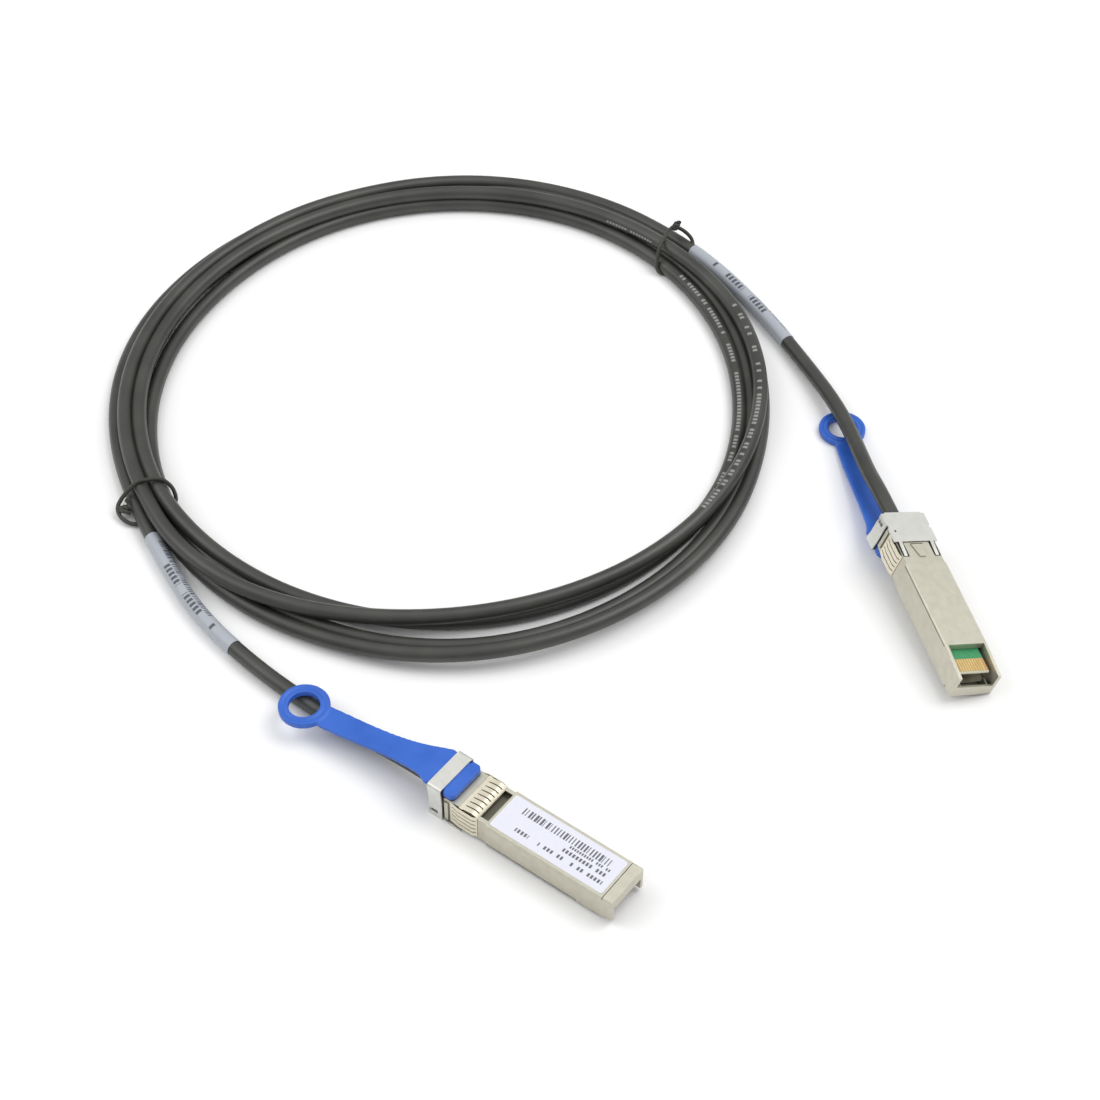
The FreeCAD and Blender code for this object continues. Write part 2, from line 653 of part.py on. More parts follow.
def pull_tab(tag, seat):
    """Moulded pull tab: flat end on the bracket, bent strap and finger ring."""
    name = f"tab_{tag}"
    strap = [spot(f"strap_{tag}{number}") for number in (1, 2)]
    ring = Placement(spot(f"ring_{tag}"),
                     Rotation(value(f"ring_{tag}_yaw"), 0, value(f"ring_{tag}_roll")))
    level = value(f"{BAND_UNDERSIDE} - tab_thickness / 2")
    face = Rotation(Vector(0, 1, 0), Vector(0, 0, 1), Vector(1, 0, 0), "XYZ")
    start = seat * Placement(Vector(-value("flare_end"), 0, level), Rotation())
    end = ring * Placement(Vector(value("ring_radius - ring_rim / 2"), 0, 0), Rotation())
    places = [start] + [
        Placement(point,
                  seat.Rotation.slerp(ring.Rotation, (index + 1) / (len(strap) + 1)))
        for index, point in enumerate(strap)] + [end]
    halves = ["flare_tail_half"] + ["strap_half"] * (len(places) - 1)
    bend = doc.addObject("Part::Loft", f"{name}_strap")
    bend.Sections = [
        strap_section(f"{name}_section_{index}", half, Placement(place.Base, place.Rotation * face))
        for index, (place, half) in enumerate(zip(places, halves))]
    bend.Solid = True
    bodies = [rod(f"{name}_{part}", radius, height, ("0", "0", f"-({height}) / 2"),
                  Vector(0, 0, 1))
              for part, radius, height in (("web", "ring_radius", "ring_web"),
                                           ("rim", "ring_radius", "ring_rim_height"),
                                           ("groove", "ring_radius - ring_rim", "ring_rim_height"),
                                           ("collar", "ring_hole + ring_rim", "ring_rim_height"),
                                           ("hole", "ring_hole", "2 * ring_rim_height"))]
    web, rim, groove, collar, hole = bodies
    rim = cut(f"{name}_rim_ring", rim, [groove])
    loop = cut(f"{name}_loop", fuse(f"{name}_disc", [web, rim, collar]), [hole])
    loop.Placement = ring
    keep(f"pull_tab_{tag}", fuse(name, tab_plate(name, seat) + [bend, loop]))


def plug_label(tag, seat):
    """Printed label in the cover's recess, with rounded corners."""
    sheet_label = block(f"label_{tag}", LABEL_SPAN, centred(LABEL_HALF),
                        ("shell_height - label_thickness", "shell_height"))
    keep(f"plug_label_{tag}",
         rounded(f"label_{tag}_round", sheet_label, "label_round",
                 lambda edge: edge.BoundBox.ZLength > value("label_thickness / 2")), seat)


# The cable, its coil, ties and wrapped labels

def cable_start(seat):
    """Where the cable leaves a plug, and the end of its first straight run."""
    rear = -value("rear_end + ferrule_tail")
    height = value("cable_height")
    return [seat.multVec(Vector(rear, 0, height)),
            seat.multVec(Vector(rear - value("exit_run"), 0, height))]


def route_edges(points, name, end_share):
    """Straight runs joined by tangent arcs as large as the shorter run beside each allows.

    The route starts and ends at end_share of its first and last run.
    """
    edges = []
    last = points[0] + (points[1] - points[0]) * end_share
    finish = points[-1] + (points[-2] - points[-1]) * end_share
    radii = []
    for before, corner, after in zip(points, points[1:], points[2:]):
        back = (before - corner).normalize()
        ahead = (after - corner).normalize()
        turn = radians(180) - back.getAngle(ahead)
        reach = BEND_SHARE * min((before - corner).Length, (after - corner).Length)
        radius = reach / tan(turn / 2)
        radii.append(radius)
        enter = corner + back * reach
        leave = corner + ahead * reach
        toward = (back + ahead).normalize()
        middle = corner + toward * (radius / cos(turn / 2) - radius)
        edges.append(Part.LineSegment(last, enter).toShape())
        edges.append(Part.Arc(enter, middle, leave).toShape())
        last = leave
    edges.append(Part.LineSegment(last, finish).toShape())
    print(name, "bend radii", [round(radius) for radius in radii])
    return edges


def tube(name, points, radius, end_share=0):
    """Sweep a circle along a route and report its volume beside section times length."""
    route = doc.addObject("Part::Feature", f"{name}_route")
    route.Shape = Part.Wire(route_edges(points, name, end_share))
    circle = doc.addObject("Part::Circle", f"{name}_circle")
    circle.Placement = Placement(route.Shape.Edges[0].Vertexes[0].Point,
                                 Rotation(Vector(0, 0, 1), points[1] - points[0]))
    circle.setExpression("Radius", bound(radius))
    sweep = doc.addObject("Part::Sweep", f"{name}_sweep")
    sweep.Sections = [circle]
    sweep.Spine = (route, [f"Edge{number}" for number in range(1, len(route.Shape.Edges) + 1)])
    sweep.Solid = True
    doc.recompute()
    section = pi * value(radius) ** 2
    print(name, "volume", round(sweep.Shape.Volume), "of", round(section * route.Shape.Length))
    return sweep


def lead_points(seat, middle_points):
    """A lead's whole route from its plug to the coil."""
    return cable_start(seat) + [Vector(*point) for point in middle_points]


def wrap_label(tag, points):
    """Label wrapped round the cable, from mid-run to mid-run of the four points given."""
    sleeve = tube(f"wrap_{tag}", points, "cable_diameter / 2 + wrap_wall", 0.5)
    core = tube(f"wrap_core_{tag}", points, "cable_diameter / 2")
    keep(f"wrap_label_{tag}", cut(f"wrap_{tag}_sleeve", sleeve, [core]))


def coil():
    """The coiled turns as one closed ring between two ellipses."""
    place = Placement(Vector(value("coil_x"), value("coil_y"), 0),
                      Rotation(value("coil_turn") + 90, 0, 0))
    rings = []
    for part in ("outer", "inner"):
        ellipse = doc.addObject("Part::Ellipse", f"coil_{part}")
        ellipse.setExpression("MajorRadius", bound(f"coil_{part}_long"))
        ellipse.setExpression("MinorRadius", bound(f"coil_{part}_short"))
        solid = doc.addObject("Part::Extrusion", f"coil_{part}_solid")
        solid.Base = ellipse
        solid.DirMode = "Custom"
        solid.Dir = Vector(0, 0, 1)
        solid.setExpression("LengthFwd", bound("coil_height"))
        solid.Solid = True
        rings.append(solid)
    ring = cut("coil_ring", rings[0], rings[1:])
    ring = rounded("coil_rounded", ring, "coil_round",
                   lambda edge: edge.BoundBox.ZLength < TOLERANCE)
    keep("coil", ring, place)


def coil_radius(part, angle):
    """Distance from the coil's middle to one of its walls at an angle from its short axis."""
    short = value(f"coil_{part}_short")
    long = value(f"coil_{part}_long")
    return 1 / ((cos(radians(angle)) / short) ** 2 + (sin(radians(angle)) / long) ** 2) ** 0.5


def tie(side):
    """Wire tie: a closed loop round the bundle with a twisted tail on its outside."""
    name = f"tie_{side}"
    angle = value(f"tie_{side}_angle")
    half_wire = value("tie_wire / 2")
    inner = coil_radius("inner", angle) - half_wire
    outer = coil_radius("outer", angle) + half_wire
    low = half_wire
    high = value("coil_height") + half_wire
    round_radius = value("tie_round")
    corners = [Vector(inner, 0, low), Vector(outer, 0, low), Vector(outer, 0, high),
               Vector(inner, 0, high)]
    edges = []
    for before, corner, after in zip(corners[-1:] + corners, corners, corners[1:] + corners[:1]):
        back = (before - corner).normalize()
        ahead = (after - corner).normalize()
        hub = corner + (back + ahead) * round_radius
        middle = hub - (back + ahead).normalize() * round_radius
        edges.append(Part.Arc(corner + back * round_radius, middle,
                              corner + ahead * round_radius).toShape())
        edges.append(Part.LineSegment(corner + ahead * round_radius,
                                      after - ahead * round_radius).toShape())
    route = doc.addObject("Part::Feature", f"{name}_route")
    route.Shape = Part.Wire(edges)
    start = edges[0].Vertexes[0].Point
    circle = doc.addObject("Part::Circle", f"{name}_circle")
    circle.Placement = Placement(start, Rotation(Vector(0, 0, 1), edges[0].tangentAt(
        edges[0].FirstParameter)))
    circle.setExpression("Radius", bound("tie_wire / 2"))
    loop = doc.addObject("Part::Sweep", f"{name}_loop")
    loop.Sections = [circle]
    loop.Spine = (route, [f"Edge{number}" for number in range(1, len(edges) + 1)])
    loop.Solid = True
    tail = doc.addObject("Part::Cylinder", f"{name}_tail")
    tail.setExpression("Radius", bound("tail_radius"))
    tail.setExpression("Height", bound("tail_length"))
    tail.Placement = Placement(Vector(outer, 0, value("coil_height - tail_drop")),
                               Rotation(Vector(0, 1, 0), 90 - value("tail_tilt")))
    seat = Placement(Vector(value("coil_x"), value("coil_y"), 0),
                     Rotation(value("coil_turn") + angle, 0, 0))
    keep(name, fuse(name, [loop, tail]), seat)


def plug_b_seat():
    """Plug B's place: its angles are given, and the lowest corner of its shell is on the floor."""
    turn = Rotation(value("plug_b_yaw"), value("plug_b_pitch"), value("plug_b_roll"))
    half = value("shell_width / 2")
    low = min(turn.multVec(Vector(value("nose"), side, value("shell_height"))).z
              for side in (-half, half))
    return Placement(Vector(value("plug_b_x"), value("plug_b_y"), -low), turn)


def check_document():
    """Stop if any object failed or any sub-part has no valid shape."""
    failed = [item.Name for item in doc.Objects
              if any(word in state for state in item.State for word in ("Invalid", "Error"))]
    if failed:
        raise RuntimeError(f"failed objects: {failed}")
    for node in nodes:
        if node.Shape.isNull() or not node.Shape.isValid():
            raise RuntimeError(f"no valid shape: {node.Label}")


def main():
    """Build every sub-part, check the document and write the STEP files."""
    fill_sheet()
    seats = {"a": Placement(Vector(0, 0, value("boss_height")), Rotation()), "b": plug_b_seat()}
    for tag, seat in seats.items():
        for build in (base_shell, cover_shell, emi_collar, paddle_card, gold_contacts,
                      memory_chip, twinax_cores, crimp_ferrule, latch_bracket, pull_tab):
            build(tag, seat)
    plug_label("a", seats["a"])
    leads = {"a": lead_points(seats["a"], LEAD_A), "b": lead_points(seats["b"], LEAD_B)}
    for tag, points in leads.items():
        keep(f"lead_{tag}", tube(f"lead_{tag}", points, "cable_diameter / 2"))
        wrap_label(tag, points[-4:])
    coil()
    tie("left")
    tie("right")
    doc.recompute()
    check_document()
    os.makedirs("parts", exist_ok=True)
    for node in nodes:
        node.Shape.exportStep(f"parts/{node.Label}.step")
        print(node.Label, len(node.Shape.Solids), round(node.Shape.Volume, 1))


main()
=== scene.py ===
"""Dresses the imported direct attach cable: metal plugs, blue pull tabs, coiled jacket and ties.

Every length is in metres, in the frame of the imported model, whose origin lies under plug A's
latch boss with +X along that plug's insertion direction and +Z up.
"""

import logging
from dataclasses import dataclass
from enum import Enum
from functools import lru_cache
from math import cos, pi, radians, sin, tau
from typing import Iterable, Sequence

import bpy
from mathutils import Matrix, Vector


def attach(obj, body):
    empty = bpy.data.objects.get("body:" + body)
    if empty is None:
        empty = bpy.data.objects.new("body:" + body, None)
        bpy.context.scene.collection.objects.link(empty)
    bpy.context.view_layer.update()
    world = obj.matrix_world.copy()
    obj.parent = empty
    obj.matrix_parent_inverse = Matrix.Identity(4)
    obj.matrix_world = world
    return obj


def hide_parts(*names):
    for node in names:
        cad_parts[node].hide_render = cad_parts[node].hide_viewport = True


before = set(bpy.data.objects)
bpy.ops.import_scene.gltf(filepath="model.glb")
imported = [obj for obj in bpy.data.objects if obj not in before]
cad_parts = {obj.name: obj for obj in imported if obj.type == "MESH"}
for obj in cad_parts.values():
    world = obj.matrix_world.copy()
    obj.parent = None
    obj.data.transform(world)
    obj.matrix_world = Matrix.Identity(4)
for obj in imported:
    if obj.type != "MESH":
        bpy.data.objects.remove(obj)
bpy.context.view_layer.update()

MM = 0.001
CABLE_DIAMETER = 4.6 * MM
# The mesh attribute that tells how much shade is painted on each face of a shell
GLOOM = "gloom"
LOG = logging.getLogger("cable")

Point = tuple[float, float, float]
Colour = tuple[float, float, float, float]
Piece = bpy.types.Object
Socket = bpy.types.NodeSocket


# Shared helpers


def make_active(piece: Piece) -> Piece:
    """Select one object alone and make it the active one.

    Args:
        piece: The object to work on.

    Returns:
        The same object.
    """
    bpy.ops.object.select_all(action="DESELECT")
    piece.select_set(True)
    bpy.context.view_layer.objects.active = piece
    return piece


def apply_place(piece: Piece) -> Piece:
    """Move an object's place into its mesh, so that it sits at the origin.

    Args:
        piece: A mesh object.

    Returns:
        The same object, unturned and unscaled at the origin.
    """
    make_active(piece)
    bpy.ops.object.transform_apply(location=True, rotation=True, scale=True)
    return piece


def add_modifier(piece: Piece, kind: str, **settings: object) -> None:
    """Add a modifier, set it up and apply it.

    Args:
        piece: The object that gets the modifier.
        kind: The modifier's type.
        **settings: The modifier's own settings.
    """
    make_active(piece)
    modifier = piece.modifiers.new(kind.title(), kind)
    for name, setting in settings.items():
        setattr(modifier, name, setting)
    bpy.ops.object.modifier_apply(modifier=modifier.name)


def smooth(piece: Piece, angle: float) -> None:
    """Shade a piece smooth except across edges sharper than an angle in degrees."""
    make_active(piece)
    bpy.ops.object.shade_smooth_by_angle(angle=radians(angle))


def recalculate_normals(piece: Piece) -> None:
    """Point every face of a closed piece outwards."""
    make_active(piece)
    bpy.ops.object.mode_set(mode="EDIT")
    bpy.ops.mesh.select_all(action="SELECT")
    bpy.ops.mesh.remove_doubles(threshold=1e-6)
    bpy.ops.mesh.normals_make_consistent(inside=False)
    bpy.ops.object.mode_set(mode="OBJECT")


def put_in_scene(name: str, data: bpy.types.ID) -> Piece:
    """Make an object of some data and link it to the scene."""
    piece = bpy.data.objects.new(name, data)
    bpy.context.scene.collection.objects.link(piece)
    return piece


def copy_of(node: str) -> Piece:
    """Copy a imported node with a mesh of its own, at the origin, without doubled points.

    Args:
        node: The node's name.

    Returns:
        The copy, named after the node.
    """
    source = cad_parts[node]
    piece = put_in_scene(f"{node}_dressed", source.data.copy())
    piece.matrix_world = source.matrix_world
    apply_place(piece)
    recalculate_normals(piece)
    return piece


def mesh_object(name: str, points: Sequence[Vector], faces: Sequence[Sequence[int]]) -> Piece:
    """Make an object from points and faces.

    Args:
        name: The object's name.
        points: Corner places.
        faces: The corners of each face.

    Returns:
        The linked object.
    """
    mesh = bpy.data.meshes.new(name)
    mesh.from_pydata([tuple(point) for point in points], [], [tuple(face) for face in faces])
    mesh.validate()
    return put_in_scene(name, mesh)


def round_wire(name: str, points: Sequence[Vector], radius: float, along: int, around: int,
               closed: bool = False) -> bpy.types.Curve:
    """Draw one smooth spline with a round section.

    Args:
        name: The curve's name.
        points: Control points in metres.
        radius: The section's radius in metres.
        along: Steps from one control point to the next.
        around: How finely the section is rounded.
        closed: Whether the spline runs back to its start.

    Returns:
        The curve's data.
    """
    data = bpy.data.curves.new(name, "CURVE")
    data.dimensions = "3D"
    spline = data.splines.new("NURBS")
    spline.points.add(len(points) - 1)
    for slot, point in zip(spline.points, points):
        slot.co = (*point, 1.0)
    spline.order_u = 3
    spline.use_cyclic_u = closed
    spline.use_endpoint_u = not closed
    spline.resolution_u = along
    data.bevel_depth = radius
    data.bevel_resolution = around
    data.use_fill_caps = True
    return data


def join(name: str, parts: Sequence[Piece]) -> Piece:
    """Join several mesh objects into one.

    Args:
        name: The joined piece's name.
        parts: The objects, of which the first keeps its slots.

    Returns:
        The joined object.
    """
    bpy.ops.object.select_all(action="DESELECT")
    for part in parts:
        part.select_set(True)
    bpy.context.view_layer.objects.active = parts[0]
    bpy.ops.object.join()
    parts[0].name = name
    parts[0].data.name = name
    return parts[0]


def lay_sheet(piece: Piece, places: Sequence[Sequence[float]]) -> None:
    """Lay a piece out on a flat sheet, from the place of each corner in metres."""
    layer = piece.data.uv_layers.new(name="UVMap")
    for loop in piece.data.loops:
        layer.data[loop.index].uv = places[loop.vertex_index]


def paint(piece: Piece, material: bpy.types.Material) -> None:
    """Give a piece one material in place of any it has."""
    piece.data.materials.clear()
    piece.data.materials.append(material)


# Finishes


# Print, in shares of one cell of its row
PRINT_EDGE = 0.08
BAR_WIDTHS = (0.2, 0.8)
BLOCK_SPAN = (0.12, 0.74)
BLOCK_EDGE = 0.06

# The colour sockets of a mix node
MIX_FIRST, MIX_SECOND, MIX_RESULT = 6, 7, 2


class PrintKind(Enum):
    """What a row of generic print is made of."""

    BARS = "bars of random width"
    BLOCKS = "blocks that stand for writing"


@dataclass(frozen=True)
class PrintRow:
    """One row of generic print, in millimetres on its label.

    Attributes:
        half: Half the row's height.
        cell: The room for one bar or block.
        gaps: The share of cells left bare among blocks.
        seed: Which random run of bars or gaps the row shows.
    """

    start: float
    end: float
    centre: float
    half: float
    cell: float
    kind: PrintKind = PrintKind.BLOCKS
    gaps: float = 0.12
    seed: float = 0.0


class Shader:
    """A node tree under construction, with short calls for the nodes that the finishes use."""

    def __init__(self, name: str) -> None:
        """Start a material of a given name with a principled shader."""
        self.material = bpy.data.materials.new(name)
        self.material.use_nodes = True
        self.nodes = self.material.node_tree.nodes
        self.links = self.material.node_tree.links
        self.nodes.clear()
        self.output = self.nodes.new("ShaderNodeOutputMaterial")
        self.principled = self.nodes.new("ShaderNodeBsdfPrincipled")
        self.links.new(self.principled.outputs[0], self.output.inputs["Surface"])
        self.place = self.nodes.new("ShaderNodeTexCoord").outputs["Object"]

    def add(self, kind: str, **settings: object) -> bpy.types.Node:
        """Add a node and set its properties."""
        node = self.nodes.new(f"ShaderNode{kind}")
        for name, setting in settings.items():
            setattr(node, name, setting)
        return node

    def feed(self, source: object, target: Socket) -> None:
        """Link a socket to an input, or set the input to a plain value."""
        if isinstance(source, Socket):
            self.links.new(source, target)
        else:
            target.default_value = source

    def base(self, **sockets: object) -> None:
        """Feed the principled shader's sockets by name, with underscores for spaces."""
        for name, source in sockets.items():
            self.feed(source, self.principled.inputs[name.replace("_", " ")])

    def noise(self, scale: float, detail: float = 2.0, roughness: float = 0.5) -> Socket:
        """Fractal noise on Object coordinates.

        Args:
            scale: Cells per metre.
            detail: Octaves.
            roughness: Weight of the finer octaves.

        Returns:
            The noise value's socket.
        """
        node = self.add("TexNoise")
        for name, value in (("Vector", self.place), ("Scale", scale), ("Detail", detail),
                            ("Roughness", roughness)):
            self.feed(value, node.inputs[name])
        return node.outputs[0]

    def maths(self, operation: str, first: object, second: object = 0.0,
              clamp: bool = False) -> Socket:
        """One maths operation on two values or sockets."""
        node = self.add("Math", operation=operation, use_clamp=clamp)
        self.feed(first, node.inputs[0])
        self.feed(second, node.inputs[1])
        return node.outputs[0]

    def remap(self, source: Socket, low: float, high: float, to_low: float,
              to_high: float) -> Socket:
        """Map a range to another, clamped."""
        node = self.add("MapRange")
        for value, slot in zip((source, low, high, to_low, to_high), node.inputs):
            self.feed(value, slot)
        return node.outputs[0]

    def spread(self, noise: Socket, low: float, high: float, band: float = 0.2) -> Socket:
        """Map a noise's values from the band on either side of its middle to a range."""
        return self.remap(noise, 0.5 - band, 0.5 + band, low, high)

    def within(self, source: object, low: float, high: float, edge: float) -> Socket:
        """1 between two bounds and 0 outside, with a soft edge."""
        rise = self.remap(source, low - edge, low + edge, 0.0, 1.0)
        fall = self.remap(source, high - edge, high + edge, 1.0, 0.0)
        return self.maths("MULTIPLY", rise, fall)

    def chance(self, source: object, pitch: float, seed: float) -> Socket:
        """A random value that is the same all over each cell of a given length."""
        cell = self.maths("FLOOR", self.maths("DIVIDE", source, pitch))
        node = self.add("TexWhiteNoise", noise_dimensions="1D")
        self.feed(self.maths("ADD", cell, seed), node.inputs["W"])
        return node.outputs[0]

    def openness(self, distance: float, samples: int = 12) -> Socket:
        """How open a place is: 0 deep in a gap, 1 with no wall within a distance in metres."""
        node = self.add("AmbientOcclusion", samples=samples)
        node.inputs["Distance"].default_value = distance
        return node.outputs["AO"]

    def sheet(self) -> tuple[Socket, Socket]:
        """The two coordinates of the piece's own flat sheet."""
        split = self.add("SeparateXYZ")
        self.feed(self.add("UVMap").outputs[0], split.inputs[0])
        return split.outputs[0], split.outputs[1]

    def printed(self, along: object, across: object, row: PrintRow) -> Socket:
        """1 where a row of generic print covers the surface.

        Args:
            along: Place along the row, in metres.
            across: Place across the row, in metres.
            row: The row's place and kind.

        Returns:
            The print's coverage.
        """
        edge = row.cell * MM * PRINT_EDGE
        area = self.maths(
            "MULTIPLY", self.within(along, row.start * MM, row.end * MM, edge),
            self.within(across, (row.centre - row.half) * MM, (row.centre + row.half) * MM, edge))
        luck = self.chance(along, row.cell * MM, row.seed)
        inside = self.maths("FRACT", self.maths("DIVIDE", along, row.cell * MM))
        if row.kind is PrintKind.BARS:
            width = self.remap(luck, 0.0, 1.0, *BAR_WIDTHS)
            stroke = self.maths("LESS_THAN", inside, width)
            return self.maths("MULTIPLY", area, stroke)
        used = self.maths("GREATER_THAN", luck, row.gaps)
        stroke = self.within(inside, *BLOCK_SPAN, BLOCK_EDGE)
        return self.maths("MULTIPLY", self.maths("MULTIPLY", area, used), stroke)

    def all_printed(self, along: object, across: object, rows: Iterable[PrintRow]) -> Socket:
        """1 where any of several rows of print covers the surface."""
        ink: object = 0.0
        for row in rows:
            ink = self.maths("MAXIMUM", ink, self.printed(along, across, row))
        return ink

    def mix(self, share: object, first: object, second: object) -> Socket:
        """Mix two colours by a share."""
        node = self.add("Mix", data_type="RGBA")
        self.feed(share, node.inputs["Factor"])
        self.feed(first, node.inputs[MIX_FIRST])
        self.feed(second, node.inputs[MIX_SECOND])
        return node.outputs[MIX_RESULT]

    def bump(self, height: Socket, strength: float, distance: float) -> None:
        """Feed the principled shader a bump normal.

        Args:
            height: The height's socket.
            strength: The bump's strength.
            distance: The height in metres of a value of 1.
        """
        node = self.add("Bump")
        for name, value in (("Strength", strength), ("Distance", distance), ("Height", height)):
            self.feed(value, node.inputs[name])
        self.feed(node.outputs[0], self.principled.inputs["Normal"])

    def satin(self, fine: Socket, finish: "Satin") -> Socket:
        """Raise a finish's fine texture and return the roughness that goes with it."""
        self.bump(fine, finish.strength, finish.depth)
        return self.spread(fine, *(finish.roughness + stray for stray in finish.stray))


def colour(red: float, green: float, blue: float) -> Colour:
    """A linear colour from sRGB values of 0 to 255.

    Args:
        red, green, blue: The colour's parts.

    Returns:
        Linear red, green, blue and full alpha.
    """
    linear = [((value / 255 + 0.055) / 1.055) ** 2.4 if value > 10 else value / 3294.6
              for value in (red, green, blue)]
    return (*linear, 1.0)


@dataclass(frozen=True)
class Satin:
    """What every satin finish has.

    Attributes:
        stray: How far the roughness strays below and above its middle.
        cloud: Cells of the slow change of tone per metre.
        fine: Cells of the fine texture per metre.
        depth: The fine texture's depth in metres.
        strength: How strongly it shows.
    """

    name: str
    light: Colour
    dark: Colour
    roughness: float
    stray: tuple[float, float]
    cloud: float
    fine: float
    depth: float
    strength: float


@dataclass(frozen=True)
class PlatedMetal(Satin):
    """Nickel plating or bare sheet with a fine satin grain, slight stains and shade painted into
    its gaps and pockets.

    Attributes:
        painted_shade: The colour of the shade painted into gaps and pockets.
        reach: How far off a wall the painted shade still darkens a gap, in millimetres.
        shut: The openness at which a gap is painted fully dark.
        clear: The openness from which the metal gets no painted shade.
    """

    metallic: float = 0.85
    roughness: float = 0.34
    stray: tuple[float, float] = (-0.05, 0.07)
    cloud: float = 420.0
    fine: float = 9000.0
    depth: float = 4e-6
    strength: float = 0.25
    painted_shade: Colour = colour(70, 69, 54)
    reach: float = 2.2
    shut: float = 0.15
    clear: float = 0.7

    def material(self) -> bpy.types.Material:
        """Build the plating's material, with shade painted into its gaps and pockets."""
        shader = Shader(self.name)
        tone = shader.spread(shader.noise(self.cloud, 4.0), 0.0, 1.0)
        fine = shader.noise(self.fine, 2.0, 0.6)
        # Painted shade: the colour turns towards the shade colour where ambient occlusion finds
        # walls near, and in the hollows noted on the mesh
        gap = shader.remap(shader.openness(self.reach * MM), self.shut, self.clear, 1.0, 0.0)
        gloom = shader.add("Attribute", attribute_name=GLOOM).outputs["Fac"]
        lit = shader.maths("ADD", gap, shader.maths("MINIMUM", gloom, 0.0))
        deep = shader.maths("MAXIMUM", lit, gloom, clamp=True)
        unshaded = shader.mix(tone, self.dark, self.light)
        shader.base(Base_Color=shader.mix(deep, unshaded, self.painted_shade), Metallic=self.metallic,
                    Roughness=shader.satin(fine, self))
        return shader.material


@dataclass(frozen=True)
class MouldedPlastic(Satin):
    """Satin moulded plastic with a fine spark-eroded texture."""

    roughness: float = 0.42
    stray: tuple[float, float] = (-0.06, 0.08)
    cloud: float = 110.0
    fine: float = 5200.0
    depth: float = 9e-6
    strength: float = 0.35
    specular: float = 0.45

    def material(self) -> bpy.types.Material:
        """Build the plastic's material."""
        shader = Shader(self.name)
        tone = shader.spread(shader.noise(self.cloud), 0.0, 1.0)
        fine = shader.noise(self.fine, 3.0, 0.6)
        shader.base(Base_Color=shader.mix(tone, self.dark, self.light), Metallic=0.0,
                    Roughness=shader.satin(fine, self), Specular_IOR_Level=self.specular)
        return shader.material


@dataclass(frozen=True)
class CableJacket(Satin):
    """Extruded charcoal jacket: satin and slightly mottled, with faint rows of pale marks.

    Attributes:
        ink_share: How far the marks cover the jacket's own colour.
        length: The cable's length as laid, in millimetres.
    """

    name: str = "cable_jacket"
    light: Colour = colour(62, 63, 58)
    dark: Colour = colour(45, 46, 42)
    ink: Colour = colour(186, 187, 184)
    ink_share: float = 0.5
    roughness: float = 0.4
    stray: tuple[float, float] = (-0.07, 0.08)
    cloud: float = 60.0
    fine: float = 3400.0
    depth: float = 2.2e-5
    strength: float = 0.3
    specular: float = 0.6
    length: float = 3026.0
    rows: tuple[PrintRow, ...] = (
        PrintRow(2233.0, 2252.0, 5.7, 0.35, 1.2, gaps=0.1, seed=3.0),
        PrintRow(2294.0, 2392.0, 2.9, 0.72, 1.6, gaps=0.24, seed=5.0),
        PrintRow(1655.0, 1772.0, 2.9, 0.62, 1.6, gaps=0.24, seed=9.0))

    def material(self) -> bpy.types.Material:
        """Build the jacket's material, with its rows of pale marks."""
        shader = Shader(self.name)
        along, around = shader.sheet()
        along = shader.maths("MULTIPLY", along, self.length * MM)
        around = shader.maths("MULTIPLY", around, pi * CABLE_DIAMETER)
        mark = shader.maths("MULTIPLY", shader.all_printed(along, around, self.rows),
                            self.ink_share)
        fine = shader.noise(self.fine, 3.0, 0.6)
        tone = shader.spread(shader.noise(self.cloud, 3.0), 0.0, 1.0, 0.18)
        skin = shader.mix(tone, self.dark, self.light)
        shader.base(Base_Color=shader.mix(mark, skin, self.ink), Metallic=0.0,
                    Roughness=shader.satin(fine, self), Specular_IOR_Level=self.specular)
        return shader.material


@dataclass(frozen=True)
class PrintedPaper:
    """Satin label stock with rows of generic dark print.

    Attributes:
        ink_share: How far the print covers the paper.
        fleck: How far the fibres take on the ink's colour.
    """

    name: str
    paper: Colour
    ink: Colour
    rows: tuple[PrintRow, ...]
    ink_share: float = 0.86
    fleck: float = 0.06
    fibre: float = 2600.0
    depth: float = 3e-6
    strength: float = 0.1
    roughness: float = 0.38
    specular: float = 0.4

    def material(self) -> bpy.types.Material:
        """Build the label's material, printed on its own flat sheet."""
        shader = Shader(self.name)
        along, across = shader.sheet()
        ink = shader.maths("MULTIPLY", shader.all_printed(along, across, self.rows),
                           self.ink_share)
        fibre = shader.noise(self.fibre, 3.0)
        paper = shader.mix(shader.spread(fibre, 0.0, self.fleck), self.paper, self.ink)
        shader.base(Base_Color=shader.mix(ink, paper, self.ink), Roughness=self.roughness,
                    Specular_IOR_Level=self.specular)
        shader.bump(fibre, self.strength, self.depth)
        return shader.material


